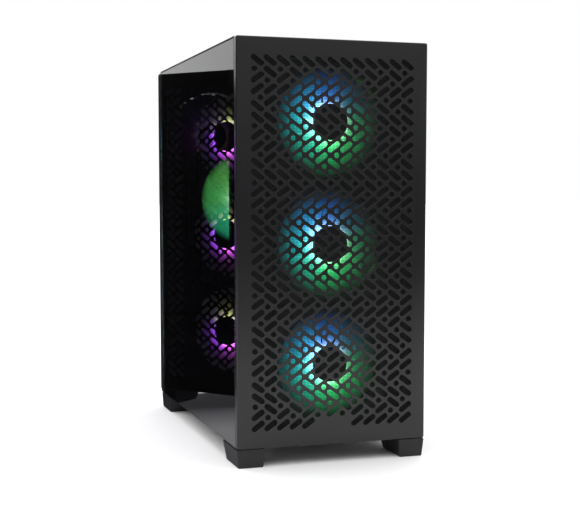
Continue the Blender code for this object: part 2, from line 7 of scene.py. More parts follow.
import bmesh
import bpy
import numpy as np
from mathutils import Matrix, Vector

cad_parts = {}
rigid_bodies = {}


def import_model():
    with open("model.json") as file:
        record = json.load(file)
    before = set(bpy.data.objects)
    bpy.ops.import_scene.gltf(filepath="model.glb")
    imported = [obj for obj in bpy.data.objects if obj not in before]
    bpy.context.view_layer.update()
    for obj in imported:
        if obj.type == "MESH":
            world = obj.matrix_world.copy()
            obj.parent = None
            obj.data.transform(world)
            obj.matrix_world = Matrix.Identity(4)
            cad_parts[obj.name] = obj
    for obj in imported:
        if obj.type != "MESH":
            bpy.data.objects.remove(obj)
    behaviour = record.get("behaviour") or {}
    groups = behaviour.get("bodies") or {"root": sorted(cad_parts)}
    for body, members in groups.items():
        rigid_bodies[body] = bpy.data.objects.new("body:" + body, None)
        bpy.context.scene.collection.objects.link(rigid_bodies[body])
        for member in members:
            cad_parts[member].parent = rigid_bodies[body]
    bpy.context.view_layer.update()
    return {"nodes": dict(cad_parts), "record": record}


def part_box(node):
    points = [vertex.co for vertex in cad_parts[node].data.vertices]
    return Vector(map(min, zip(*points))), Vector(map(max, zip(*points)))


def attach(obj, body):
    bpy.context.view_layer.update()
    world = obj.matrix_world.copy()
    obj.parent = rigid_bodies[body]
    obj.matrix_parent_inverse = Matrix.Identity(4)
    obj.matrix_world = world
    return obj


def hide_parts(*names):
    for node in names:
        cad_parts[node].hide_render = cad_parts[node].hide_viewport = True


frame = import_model()

# ---------------------------------------------------------------------------------------------
# Studio: a pale floor under an evenly white room, one broad soft light overhead, and the camera
# in front of the tower's left corner. Nothing here is part of the tower.

MM = 0.001
nodes = frame["nodes"]


def new_material(name):
    """An empty node material with one Principled shader; returns it with its tree and shader."""
    material = bpy.data.materials.new(name)
    material.use_nodes = True
    tree = material.node_tree
    return material, tree, tree.nodes["Principled BSDF"]


def settle(node, **values):
    """Set some of a node's inputs by name, with _ for a space."""
    for socket, value in values.items():
        node.inputs[socket.replace("_", " ")].default_value = value
    return node


def add_node(tree, kind, **values):
    """A new node of a kind, with some of its inputs set."""
    return settle(tree.nodes.new("ShaderNode" + kind), **values)


def join(tree, *links):
    """Link nodes, each link given as node, its output, next node, its input."""
    for source, output, target, socket in links:
        tree.links.new(source.outputs[output], target.inputs[socket])


def stage_sheet(name, corners, colour, roughness):
    """A flat card through its corners, in metres, that only dresses the set."""
    mesh = bpy.data.meshes.new(name)
    mesh.from_pydata(corners, [], [tuple(range(len(corners)))])
    material, _, shader = new_material(name)
    settle(shader, Base_Color=(*colour, 1.0), Roughness=roughness)
    mesh.materials.append(material)
    card = bpy.data.objects.new(name, mesh)
    bpy.context.scene.collection.objects.link(card)
    return card


def white_room(front, back):
    """A white surrounding, brighter behind the tower than in front of it, and plain white to look at."""
    world = bpy.data.worlds.new("white_room")
    world.use_nodes = True
    tree = world.node_tree
    sky = tree.nodes["Background"]
    settle(sky, Color=(1.0, 1.0, 1.0, 1.0))
    direction = add_node(tree, "TexCoord")
    split = add_node(tree, "SeparateXYZ")
    ramp = add_node(tree, "MapRange", From_Min=-0.6, From_Max=0.6, To_Min=front, To_Max=back)
    path = add_node(tree, "LightPath")
    brighter = add_node(tree, "Math")
    brighter.operation = "MAXIMUM"
    join(tree, (direction, "Generated", split, "Vector"), (split, "Y", ramp, "Value"),
         (ramp, "Result", brighter, 0), (path, "Is Camera Ray", brighter, 1),
         (brighter, "Value", sky, "Strength"))
    bpy.context.scene.world = world


def soft_sun(strength, spread, tilt):
    """A very broad light from straight overhead, tilted a little: it whitens the floor evenly."""
    lamp = bpy.data.lights.new("overhead", "SUN")
    lamp.energy = strength
    lamp.angle = math.radians(spread)
    light = bpy.data.objects.new("overhead", lamp)
    light.rotation_euler = [math.radians(angle) for angle in tilt]
    bpy.context.scene.collection.objects.link(light)


def hide_from(card, *rays):
    """Hide a card from the camera, from scattered light and shadows, and from the other rays named."""
    for ray in ("camera", "diffuse", "shadow", *rays):
        setattr(card, "visible_" + ray, False)


FLOOR_REACH = 30.0
white_room(front=0.60, back=0.95)
stage_sheet("floor", [(-FLOOR_REACH, -FLOOR_REACH, 0), (FLOOR_REACH, -FLOOR_REACH, 0),
                      (FLOOR_REACH, FLOOR_REACH, 0), (-FLOOR_REACH, FLOOR_REACH, 0)],
            (0.93, 0.93, 0.93), 0.7)
soft_sun(3.0, 130.0, (-12.0, -8.0, 0.0))

# Dark cloth, met only by mirror-like rays: far out at the left it keeps the glass clear from the
# side, and low behind the camera it shades the middle of the front.
CLOTH_BLACK = (0.004, 0.004, 0.004)
for name, corners in (
        ("dark_cloth", [(-1.6, -1.6, -0.01), (-1.6, 1.7, -0.01), (-1.6, 1.7, 2.2), (-1.6, -1.6, 2.2)]),
        ("dark_wall", [(-4.0, -3.0, 0.0), (4.0, -3.0, 0.0), (4.0, -3.0, 0.44), (-4.0, -3.0, 0.44)]),
        ("dark_mat", [(-4.0, -3.0, 0.001), (4.0, -3.0, 0.001), (4.0, -1.4, 0.001), (-4.0, -1.4, 0.001)])):
    hide_from(stage_sheet(name, corners, CLOTH_BLACK, 0.9), "transmission", "volume_scatter")

CAMERA_PLACE = (-0.4179, -1.3483, 0.2834)
CAMERA_YAW, CAMERA_PITCH = -17.844, -4.821
LENS, FILM, LENS_SHIFT = 72.62, 36.0, 0.06
camera = bpy.data.objects.new("camera", bpy.data.cameras.new("camera"))
camera.data.lens = LENS
camera.data.sensor_width = FILM
camera.data.shift_y = LENS_SHIFT
camera.location = CAMERA_PLACE
camera.rotation_euler = (math.radians(90.0 + CAMERA_PITCH), 0.0, math.radians(CAMERA_YAW))
bpy.context.scene.collection.objects.link(camera)
bpy.context.scene.camera = camera
bpy.context.scene.view_settings.view_transform = "Standard"

# ---------------------------------------------------------------------------------------------
# Front panel: one sheet of steel, punched with slanted slots and small holes, folded back all
# round and powder coated charcoal. Four studs on its back snap into the fan rails, and a fine nylon
# dust screen is glued behind the slots.

STEEL_COLOUR = (0.0072, 0.0072, 0.0082)
FRONT_SHEET = 1.2 * MM                   # thickness of the sheet
BEND_RADIUS = 1.4 * MM
EDGE_BREAK = 0.3 * MM                    # how far a sheet's cut edge is broken
CORNER_RADIUS = 2.2 * MM
COLUMNS, COLUMN_PITCH = 13, 13.74 * MM
SLOT_STEP = 11.6 * MM                    # slot to slot down a column
PATTERN_STEP = 57.75 * MM                # after this a column repeats
SLOT_WIDTH = 5.8 * MM
SLOT_RUN = np.array([8.1, 5.9]) * MM / 2  # half of a slot's centre line
DOT_RADIUS = 2.9 * MM
DOT_SIDE = 3.2 * MM
TOP_MARGIN = 23.7 * MM
LAST_ROW = 375.4 * MM
PLAIN_COLUMNS = (5, 6, 7)                # no slots in the last row of these
SCREEN_PITCH, SCREEN_WIRE = 1.5 * MM, 0.22 * MM  # wire to wire, and a wire's radius


def two_tone(tree, dark, light):
    """A node that blends two colours."""
    tint = tree.nodes.new("ShaderNodeMix")
    tint.data_type = "RGBA"
    return settle(tint, A=dark, B=light)


def powder_coat(name, colour, roughness=0.42, grain=0.12, shine=0.30):
    """Powder coat on steel: fine orange-peel bump, with faint clouds in its colour and gloss."""
    material, tree, shader = new_material(name)
    settle(shader, Specular_IOR_Level=shine)
    place = add_node(tree, "TexCoord")
    peel = add_node(tree, "TexNoise", Scale=1400.0, Detail=2.0)
    clouds = add_node(tree, "TexNoise", Scale=14.0, Detail=3.0)
    bump = add_node(tree, "Bump", Strength=grain, Distance=0.0002)
    tint = two_tone(tree, (*[c * 0.9 for c in colour], 1.0), (*[c * 1.1 for c in colour], 1.0))
    gloss = add_node(tree, "MapRange", To_Min=roughness - 0.05, To_Max=roughness + 0.05)
    for noise in (peel, clouds):
        join(tree, (place, "Object", noise, "Vector"))
    join(tree, (peel, "Fac", bump, "Height"), (bump, "Normal", shader, "Normal"),
         (clouds, "Fac", tint, "Factor"), (tint, "Result", shader, "Base Color"),
         (clouds, "Fac", gloss, "Value"), (gloss, "Result", shader, "Roughness"))
    return material


def grid_faces(rows, columns, first=0, close_rows=False, close_columns=False):
    """Quads over a grid of vertices, row after row, joined round where a direction is closed."""
    i = np.arange(rows if close_rows else rows - 1)
    j = np.arange(columns if close_columns else columns - 1)
    i, j = np.meshgrid(i, j, indexing="ij")
    a = i * columns + j
    b = i * columns + (j + 1) % columns
    c = ((i + 1) % rows) * columns + (j + 1) % columns
    d = ((i + 1) % rows) * columns + j
    return first + np.stack([a, b, c, d], axis=-1).reshape(-1, 4)


def rounded_rectangle(width, height, radius, arc=5):
    """Points round a rectangle with quarter-circle corners: corner centre plus radius times
    (cos, sin) of an angle that goes once round. Returns (points, 2)."""
    turn = (np.arange(4)[:, None] + np.linspace(0.0, 1.0, arc)[None, :]) * math.pi / 2
    side = np.array([[1, 1], [-1, 1], [-1, -1], [1, -1]])[:, None, :]
    centre = side * (np.array([width, height]) / 2 - radius)
    return (centre + radius * np.stack([np.cos(turn), np.sin(turn)], axis=-1)).reshape(-1, 2)


def capsule(run, width, arc=6):
    """Points round a slot about the origin: half circles on the two ends of its centre line."""
    run = np.asarray(run)
    base = math.atan2(run[1], run[0])
    turn = np.linspace(-math.pi / 2, math.pi / 2, arc)
    ends = []
    for sign in (1.0, -1.0):
        angle = base + turn + (0.0 if sign > 0 else math.pi)
        ends.append(sign * run + width / 2 * np.stack([np.cos(angle), np.sin(angle)], axis=-1))
    return np.concatenate(ends)


def circle(radius, count, phase=0.0):
    """Points round a circle about the origin."""
    turn = phase + np.arange(count) * 2 * math.pi / count
    return radius * np.stack([np.cos(turn), np.sin(turn)], axis=-1)


def grown(outline, amount):
    """An outline about the origin moved outwards by an amount along its own normals."""
    step = np.roll(outline, -1, axis=0) - np.roll(outline, 1, axis=0)
    normal = np.stack([step[:, 1], -step[:, 0]], axis=-1)
    return outline + amount * normal / np.linalg.norm(normal, axis=1, keepdims=True)


def make_piece(name, verts, faces, material, body, slot_name, sharp=32.0, stands_for=()):
    """Put worked-out vertices and faces into a named piece that rides on a body."""
    mesh = bpy.data.meshes.new(name)
    mesh.from_pydata(np.asarray(verts).tolist(), [], [list(map(int, f)) for f in faces])
    bm = bmesh.new()
    bm.from_mesh(mesh)
    bmesh.ops.recalc_face_normals(bm, faces=bm.faces)
    bm.to_mesh(mesh)
    bm.free()
    mesh.materials.append(material)
    mesh.shade_smooth()
    mesh.set_sharp_from_angle(angle=math.radians(sharp))
    piece = bpy.data.objects.new(name, mesh)
    bpy.context.scene.collection.objects.link(piece)
    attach(piece, body)
    if stands_for:
        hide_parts(*stands_for)
    return piece


def punched_sheet(outline, rim, holes, thickness, lead=0.25 * MM):
    """Vertices and faces of a sheet with holes, in its own plane (u, v) and depth w.

    The rim is a profile of (inset, depth) carried round the outline, from the face (depth 0) to the
    back (depth = thickness). Each hole is a tube through three rings: the outline grown by the lead,
    then its true outline at the lead's depth and at the back. The two flat faces are filled between.
    """
    rings = [np.column_stack([grown(outline, -inset), np.full(len(outline), depth)])
             for inset, depth in rim]
    verts = [np.concatenate(rings)]
    count = len(outline)
    faces = [grid_faces(len(rings), count, close_columns=True)]
    loops = [[np.arange(count), (len(rings) - 1) * count + np.arange(count)]]
    first = len(rings) * count
    for shape, centres in holes:
        n, centres = len(shape), np.asarray(centres)
        tube = np.stack([np.column_stack([grown(shape, lead), np.zeros(n)]),
                         np.column_stack([shape, np.full(n, lead)]),
                         np.column_stack([shape, np.full(n, thickness)])])
        places = np.column_stack([centres, np.zeros(len(centres))])
        verts.append((places[:, None, None, :] + tube[None]).reshape(-1, 3))
        one = grid_faces(3, n, close_columns=True)
        starts = first + 3 * n * np.arange(len(centres))
        faces.append((starts[:, None, None] + one[None]).reshape(-1, 4))
        loops += [[start + np.arange(n), start + 2 * n + np.arange(n)] for start in starts]
        first += 3 * n * len(centres)
    verts = np.concatenate(verts)
    bm = bmesh.new()
    points = [bm.verts.new(v) for v in verts]
    for quad in np.concatenate(faces):
        bm.faces.new([points[k] for k in quad])
    for side in (0, 1):
        edges = [bm.edges.get((points[a], points[b]))
                 for pair in loops for a, b in zip(pair[side], np.roll(pair[side], -1))]
        bmesh.ops.triangle_fill(bm, use_beauty=True, use_dissolve=False, edges=edges)
    bm.verts.index_update()
    verts = np.array([v.co[:] for v in bm.verts])
    faces = [[v.index for v in f.verts] for f in bm.faces]
    bm.free()
    return verts, faces


def slot_pattern(top):
    """Centres of falling slots, rising slots and dots, down columns about u = 0.

    Down a column the sequence is falling slot, dot at the left, two rising slots, dot at the right,
    falling slot. Every second column starts one slot later.
    """
    near = (PATTERN_STEP - 2 * SLOT_STEP) / 4
    sequence = [("falling", 0.0), ("left", near), ("rising", 2 * near), ("rising", 2 * near + SLOT_STEP),
                ("right", 3 * near + SLOT_STEP), ("falling", 4 * near + SLOT_STEP)]
    centres = {"falling": [], "rising": [], "dot": []}
    for column in range(COLUMNS):
        u = (column - (COLUMNS - 1) / 2) * COLUMN_PITCH
        last = LAST_ROW - near if column in PLAIN_COLUMNS else LAST_ROW + near / 2
        for repeat in range(-1, int(LAST_ROW / PATTERN_STEP) + 1):
            for kind, drop in sequence:
                down = drop + SLOT_STEP * (column % 2) + repeat * PATTERN_STEP
                if not -near / 2 <= down <= last:
                    continue
                if kind in ("left", "right"):
                    side = -DOT_SIDE if kind == "left" else DOT_SIDE
                    centres["dot"].append((u + side, top - down))
                else:
                    centres[kind].append((u, top - down))
    return centres


def pattern_holes(centres):
    """The hole shapes of a slot pattern paired with their centres."""
    return [(capsule(SLOT_RUN * [1, -1], SLOT_WIDTH), centres["falling"]),
            (capsule(SLOT_RUN, SLOT_WIDTH), centres["rising"]),
            (circle(DOT_RADIUS, 12), centres["dot"])]


def measured(node):
    """A CAD node's low and high corners, its size and its middle."""
    low, high = (np.array(corner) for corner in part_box(node))
    return low, high, high - low, (low + high) / 2


def laid(sheet, origin, axes):
    """A sheet put in its place: axes names the directions of its u, v and depth from the origin,
    with a capital where one runs backwards."""
    verts, faces = sheet
    placed = np.tile(np.asarray(origin, float), (len(verts), 1))
    for column, axis in enumerate(axes):
        placed[:, "xyz".index(axis.lower())] += verts[:, column] * (-1 if axis.isupper() else 1)
    return placed, faces


def front_panel():
    """The punched face with its folded rim: a quarter-round bend, the fold, and its inner side."""
    low, _, size, middle = measured("front_panel")
    bend = np.linspace(0.0, math.pi / 2, 5)
    rim = [(BEND_RADIUS * (1 - math.sin(a)), BEND_RADIUS * (1 - math.cos(a))) for a in bend]
    rim += [(0.0, size[1] - EDGE_BREAK), (EDGE_BREAK, size[1]), (FRONT_SHEET, size[1]),
            (FRONT_SHEET, FRONT_SHEET)]
    sheet = punched_sheet(rounded_rectangle(size[0], size[2], CORNER_RADIUS), rim,
                          pattern_holes(slot_pattern(size[2] / 2 - TOP_MARGIN)), FRONT_SHEET)
    make_piece("front_sheet", *laid(sheet, (0.0, low[1], middle[2]), "xzy"),
               powder_coat("front_steel", STEEL_COLOUR, 0.25, 0.05, 0.42), "front_cover", "front_steel",
               stands_for=["front_panel"])


def closed_tube(rows, count):
    """Faces of rings of vertices joined in order, with a flat face on the first and last ring."""
    faces = grid_faces(rows, count, close_columns=True).tolist()
    return faces + [list(range(count)), list(range((rows - 1) * count, rows * count))]


def turned(profile, count, axis, centre):
    """A profile of (radius, height) points turned round an axis: (radius cos, radius sin, height)."""
    profile = np.asarray(profile)
    turn = np.arange(count) * 2 * math.pi / count
    r, h = profile[:, :1], profile[:, 1:]
    rings = [r * np.cos(turn), r * np.sin(turn), h + 0 * turn]
    order = {"X": (2, 0, 1), "Y": (1, 2, 0), "Z": (0, 1, 2)}[axis]
    points = np.stack([rings[k] for k in order], axis=-1).reshape(-1, 3) + np.asarray(centre)
    return points, closed_tube(len(profile), count)


def several(parts):
    """Several (vertices, faces) pairs as one."""
    verts, faces, first = [], [], 0
    for points, polygons in parts:
        verts.append(points)
        faces += [[first + k for k in polygon] for polygon in polygons]
        first += len(points)
    return np.concatenate(verts), faces


def moulded(name, colour, roughness=0.45, grain=0.25, scale=900.0):
    """Moulded plastic: a fine spark-eroded grain, slightly uneven in gloss."""
    material, tree, shader = new_material(name)
    settle(shader, Base_Color=(*colour, 1.0), Specular_IOR_Level=0.35)
    place = add_node(tree, "TexCoord")
    pits = add_node(tree, "TexVoronoi", Scale=scale)
    bump = add_node(tree, "Bump", Strength=grain, Distance=0.0001)
    gloss = add_node(tree, "MapRange", To_Min=roughness - 0.04, To_Max=roughness + 0.06)
    join(tree, (place, "Object", pits, "Vector"), (pits, "Distance", bump, "Height"),
         (pits, "Distance", gloss, "Value"), (bump, "Normal", shader, "Normal"),
         (gloss, "Result", shader, "Roughness"))
    return material


black_plastic = moulded("black_plastic", (0.014, 0.014, 0.015))


def front_studs():
    """Four ball-ended studs behind the front sheet's corners."""
    low, high, *_ = measured("front_panel")
    base, tip = low[1] + FRONT_SHEET, high[1]
    profile = [(0.5 * MM, 0), (3.0 * MM, 0), (3.0 * MM, 2.4 * MM), (1.9 * MM, 3.2 * MM),
               (2.6 * MM, 4.4 * MM), (2.6 * MM, 5.2 * MM), (1.4 * MM, tip - base)]
    parts = [turned(profile, 16, "Y", (x, base, z))
             for x in (-97 * MM, 97 * MM) for z in (low[2] + 26 * MM, high[2] - 26 * MM)]
    make_piece("front_studs", *several(parts), black_plastic, "front_cover", "black_plastic")


def wires(places, start, end, depth, upright):
    """Straight wires side by side, each a closed six-sided bar: (place + r cos, depth + r sin)."""
    turn = np.arange(6) * math.pi / 3
    across = places[:, None, None] + SCREEN_WIRE * np.cos(turn)
    along = np.array([start, end])[None, :, None]
    across, deep, along = np.broadcast_arrays(across, depth + SCREEN_WIRE * np.sin(turn), along)
    order = (across, deep, along) if upright else (along, deep, across)
    first = 12 * np.arange(len(places))[:, None, None]
    sides = (first + grid_faces(2, 6, close_columns=True)).reshape(-1, 4)
    caps = (first + np.arange(12).reshape(2, 6)).reshape(-1, 6)
    return np.stack(order, axis=-1).reshape(-1, 3), [*sides.tolist(), *caps.tolist()]


def front_screen():
    """Upright and level wires glued behind the slots, in a thin plastic border."""
    low, _, size, middle = measured("front_panel")
    back, half, thick = low[1] + FRONT_SHEET, size[2] / 2 - 10 * MM, 1.2 * MM
    bottom, top = middle[2] - half, middle[2] + half
    across = np.arange(-90 * MM, 90.5 * MM, SCREEN_PITCH)
    upward = np.arange(bottom + 3 * MM, top - 3 * MM, SCREEN_PITCH)
    parts = [wires(across, bottom + 1.5 * MM, top - 1.5 * MM, back + 0.35 * MM, True),
             wires(upward, -91.5 * MM, 91.5 * MM, back + 0.75 * MM, False)]
    make_piece("front_screen", *several(parts), moulded("screen_nylon", (0.006, 0.006, 0.0065), 0.6),
               "front_cover", "filter_mesh", 50.0)
    window = rounded_rectangle(180 * MM, 2 * half - 6 * MM, 2 * MM)
    border = punched_sheet(rounded_rectangle(186 * MM, 2 * half, 3 * MM), [(0.0, 0.0), (0.0, thick)],
                           [(window, [(0.0, 0.0)])], thick)
    make_piece("front_screen_border", *laid(border, (0.0, back + 0.05 * MM, middle[2]), "xzy"),
               black_plastic, "front_cover", "black_plastic")


front_panel()
front_studs()
front_screen()

# ---------------------------------------------------------------------------------------------
# Chassis: folded sheet steel coated black. Floor, fan rails, board tray and shroud are plain
# sheets; the rear wall is punched for the fan, ports, cards and power supply.

BLACK_COAT = (0.011, 0.011, 0.012)
black_coat = powder_coat("chassis_coat", BLACK_COAT, 0.4)
charcoal_coat = powder_coat("side_coat", STEEL_COLOUR)


def refinish(material, *names):
    """Give CAD nodes a material in place of their own."""
    for name in names:
        node = nodes[name]
        node.data.materials.clear()
        node.data.materials.append(material)


refinish(black_coat, "floor_plate", "fan_rail_left", "fan_rail_right", "board_tray", "shroud_top",
         "shroud_side", "drive_cage", "slot_cover_1", "slot_cover_2")
refinish(charcoal_coat, "steel_panel")
refinish(powder_coat("gloss_coat", BLACK_COAT, 0.16, 0.02), "glass_strip")

GRILLE_HOLE, GRILLE_STEP, GRILLE_REACH = 2.75 * MM, 6.4 * MM, 56.0 * MM


def flat_rim(thickness):
    """The rim of a plain sheet: its edge, slightly broken on both faces."""
    return [(EDGE_BREAK, 0.0), (0.0, EDGE_BREAK), (0.0, thickness - EDGE_BREAK), (EDGE_BREAK, thickness)]


def honeycomb(centre, reach, step, keep=lambda u, v: True):
    """Centres of a triangular grid of holes inside a circle about a point."""
    rows = np.arange(-int(reach / step) - 2, int(reach / step) + 3)
    i, j = np.meshgrid(rows, rows, indexing="ij")
    u = (i + 0.5 * (j % 2)) * step
    v = j * step * math.sqrt(3) / 2
    near = np.hypot(u, v) < reach
    return [(centre[0] + a, centre[1] + b) for a, b in zip(u[near], v[near]) if keep(a, b)]


def prism(outline, start, end, axis):
    """An outline carried straight along an axis, with a flat face at each end."""
    order = {"X": (2, 0, 1), "Y": (0, 2, 1), "Z": (0, 1, 2)}[axis]
    ends = [np.column_stack([outline, np.full(len(outline), place)])[:, order] for place in (start, end)]
    return np.concatenate(ends), closed_tube(2, len(outline))


def rear_wall():
    """Rear sheet with its openings, and the sloping flange that joins it to the roof."""
    low, high, *_ = measured("rear_wall")
    thick, face, top = 1.2 * MM, high[1], high[2] - 2.2 * MM
    mid = np.array([(low[0] + high[0]) / 2, (low[2] + top) / 2])
    fan_at, port_at, psu_at = (measured(node)[3][[0, 2]] - mid
                               for node in ("rear_fan_frame", "port_shield", "psu_case"))
    screws = [fan_at + np.array([a, b]) * 52.5 * MM for a in (-1, 1) for b in (-1, 1)]
    slots = [(13.5 * MM - mid[0], z * MM - mid[1]) for z in (134.0, 154.32, 174.64, 194.96)]
    holes = [(circle(GRILLE_HOLE, 6, math.pi / 6), honeycomb(fan_at, GRILLE_REACH, GRILLE_STEP)),
             (rounded_rectangle(44.4 * MM, 158.8 * MM, 1.0 * MM, 3), [port_at]),
             (rounded_rectangle(142.0 * MM, 77.0 * MM, 3.0 * MM, 4), [psu_at + (0.0, 0.5 * MM)]),
             (circle(2.2 * MM, 12), screws),
             (rounded_rectangle(97.0 * MM, 12.0 * MM, 1.0 * MM, 3), slots)]
    outline = rounded_rectangle(high[0] - low[0], top - low[2], 1.0 * MM, 3)
    sheet = punched_sheet(outline, flat_rim(thick), holes, thick)
    make_piece("rear_sheet", *laid(sheet, (mid[0], face, mid[1]), "xzY"), black_coat, "chassis",
               "chassis_steel", stands_for=["rear_wall"])
    slope = high[2] - 2.0 * MM
    section = np.array([(low[1], high[2]), (low[1], high[2] - thick), (face - thick, slope - thick),
                        (face - thick, top), (face, top), (face, slope)])
    make_piece("rear_flange", *prism(section, low[0], high[0], "X"), black_coat, "chassis",
               "chassis_steel")


rear_wall()


def rail_bars():
    """Two cross bars tying the fan rails together, put behind the fan gaps to shade them from the cooler
    fan.
    """
    back = measured("fan_rail_left")[1][1] + 0.1 * MM
    heights = [measured(f"front_fan_{k}_frame")[3][2] for k in (1, 2, 3)]
    bar = punched_sheet(rounded_rectangle(132 * MM, 12 * MM, 2 * MM, 4), flat_rim(1.0 * MM),
                        [(circle(1.8 * MM, 12), [(-60 * MM, 0.0), (60 * MM, 0.0)])], 1.0 * MM)
    parts = [laid(bar, (0.0, back, (a + b) / 2), "xzy") for a, b in zip(heights, heights[1:])]
    make_piece("rail_bars", *several(parts), black_coat, "chassis", "chassis_steel")


rail_bars()

# ---------------------------------------------------------------------------------------------
# Roof: a charcoal sheet with rows of vent slots under a magnetic dust filter, and openings for
# the buttons and ports near its front edge.

ROOF_SHEET = 1.2 * MM


def roof():
    """The punched roof sheet."""
    _, high, size, mid = measured("roof_plate")
    row, power, reset = (measured(node)[3][:2] - mid[:2]
                         for node in ("top_ports", "power_button", "reset_button"))
    vents = [(u * MM, v * MM) for u in np.arange(-72, 73, 24) for v in np.arange(-122, 147, 8.0)]
    holes = [(capsule((8.2 * MM, 0), 4.4 * MM), vents),
             (rounded_rectangle(14.6 * MM, 7.0 * MM, 0.8 * MM, 3), [(-52 * MM, row[1]), (-30 * MM, row[1])]),
             (rounded_rectangle(11.0 * MM, 6.2 * MM, 3.0 * MM, 5), [(-10 * MM, row[1])]),
             (circle(7.5 * MM, 40), [power]), (circle(3.9 * MM, 24), [reset])]
    outline = rounded_rectangle(size[0], size[1], 1.2 * MM, 3)
    sheet = punched_sheet(outline, flat_rim(ROOF_SHEET), holes, ROOF_SHEET)
    make_piece("roof_sheet", *laid(sheet, (mid[0], mid[1], high[2]), "xyZ"), charcoal_coat, "chassis",
               "side_steel", stands_for=["roof_plate"])


roof()


def woven_mesh(name, colour, pitch):
    """Fine woven filter mesh: crossed waves raise the threads and darken the gaps with painted shade for the
    open holes.
    """
    material, tree, shader = new_material(name)
    settle(shader, Roughness=0.65)
    place = add_node(tree, "TexCoord")
    waves = []
    for direction in ("X", "Y"):
        wave = add_node(tree, "TexWave")
        wave.bands_direction = direction
        settle(wave, Scale=math.pi / (10 * pitch))
        join(tree, (place, "Object", wave, "Vector"))
        waves.append(wave)
    cross = add_node(tree, "Math")
    cross.operation = "MAXIMUM"
    # Painted shade: the gaps between the threads get 0.15 of the threads' colour.
    tint = two_tone(tree, (*[c * 0.15 for c in colour], 1.0), (*colour, 1.0))
    bump = add_node(tree, "Bump", Distance=0.0003)
    for index, wave in enumerate(waves):
        join(tree, (wave, "Fac", cross, index))
    join(tree, (cross, "Value", tint, "Factor"), (cross, "Value", bump, "Height"),
         (tint, "Result", shader, "Base Color"), (bump, "Normal", shader, "Normal"))
    return material


filter_weave = woven_mesh("filter_weave", (0.03, 0.03, 0.032), 1.1 * MM)


def dust_filter(node, body, border, bars):
    """A soft rounded border and cross bars round windows, with a sunken sheet of mesh in them."""
    low, high, size, mid = measured(node)
    thick = size[2]
    window = (size[1] - border * (bars + 2)) / (bars + 1)
    centres = [(0.0, -size[1] / 2 + border + window / 2 + i * (window + border)) for i in range(bars + 1)]
    opening = rounded_rectangle(size[0] - 2 * border, window, 3 * MM, 4)
    frame_sheet = punched_sheet(rounded_rectangle(size[0], size[1], 5 * MM, 6),
                                [(0.5 * MM, 0.0), (0.0, 0.5 * MM), (0.0, thick)],
                                [(opening, centres)], thick)
    make_piece(node + "_border", *laid(frame_sheet, (mid[0], mid[1], high[2]), "xyZ"), black_plastic, body,
               "filter_mesh", stands_for=[node])
    cloth = thick * 0.35
    mesh = punched_sheet(rounded_rectangle(size[0] - border, size[1] - border, 3 * MM, 4),
                         [(0.0, 0.0), (0.0, cloth)], [], cloth)
    make_piece(node + "_mesh", *laid(mesh, (mid[0], mid[1], low[2] + 0.55 * thick), "xyZ"), filter_weave,
               body, "filter_mesh")


dust_filter("top_filter", "upper_filter", 7 * MM, 2)
dust_filter("base_filter", "lower_filter", 6 * MM, 1)

# ---------------------------------------------------------------------------------------------
# Side panels and their screws: tempered, lightly smoked glass bonded to a steel strip on the
# left, a folded steel sheet on the right, each held by two knurled thumbscrews at the back.


def smoked_glass(name):
    """Clear polished glass with a dark tint that is a little uneven from place to place."""
    material, tree, shader = new_material(name)
    settle(shader, IOR=1.5, Transmission_Weight=1.0)
    place = add_node(tree, "TexCoord")
    clouds = add_node(tree, "TexNoise", Scale=9.0)
    tint = two_tone(tree, (0.20, 0.21, 0.22, 1.0), (0.23, 0.24, 0.25, 1.0))
    settle(shader, Roughness=0.0)
    join(tree, (place, "Object", clouds, "Vector"), (clouds, "Fac", tint, "Factor"),
         (tint, "Result", shader, "Base Color"))
    return material


refinish(smoked_glass("smoked_glass"), "glass_panel")


def thumbscrew(node, body):
    """A knurled head with a waist, a rounded rim and a recess in its end: (r cos, height, r sin)."""
    low, _, size, middle = measured(node)
    count = 72
    turn = np.arange(count) * 2 * math.pi / count
    profile = np.array([(0.5, 0.0, 0), (0.72, 0.0, 0), (0.72, 0.18, 0), (0.95, 0.26, 0), (1.0, 0.34, 1),
                        (1.0, 0.9, 1), (0.93, 1.0, 0), (0.5, 1.0, 0), (0.42, 0.93, 0), (0.1, 0.93, 0)])
    r, h, knurled = (profile[:, k:k + 1] for k in range(3))
    r = size[0] / 2 * r * (1.0 - 0.05 * knurled * (np.arange(count) % 3 == 0))
    rings = np.stack([r * np.cos(turn), h * size[1] + 0 * turn, r * np.sin(turn)], axis=-1)
    make_piece(node + "_head", rings.reshape(-1, 3) + (middle[0], low[1], middle[2]),
               closed_tube(len(profile), count), black_coat, body, "chassis_steel", 25.0, [node])


for side, body in (("left", "glass_side"), ("right", "steel_side")):
    for end in ("low", "high"):
        thumbscrew(f"thumbscrew_{side}_{end}", body)

# ---------------------------------------------------------------------------------------------
# Feet: four moulded plastic feet with slanting inner ends, screwed to the floor plate from below.

foot_plastic = moulded("foot_plastic", (0.012, 0.012, 0.013), 0.52)
refinish(foot_plastic, *[f"foot_{end}_{side}" for end in ("front", "rear") for side in ("left", "right")])

# ---------------------------------------------------------------------------------------------
# Case fans: square black frames with four arms behind, and frosted rotors whose hubs hide a ring
# of coloured lights. Light enters the blades at their roots and fades towards the tips.

FAN_HALF = 60.0 * MM
FAN_DEPTH = 25.0 * MM
BORE = 57.0 * MM
HUB = 19.0 * MM
TIP = 55.5 * MM
BLADES = 11
fan_black = moulded("fan_black", (0.009, 0.009, 0.010), 0.38, 0.15)

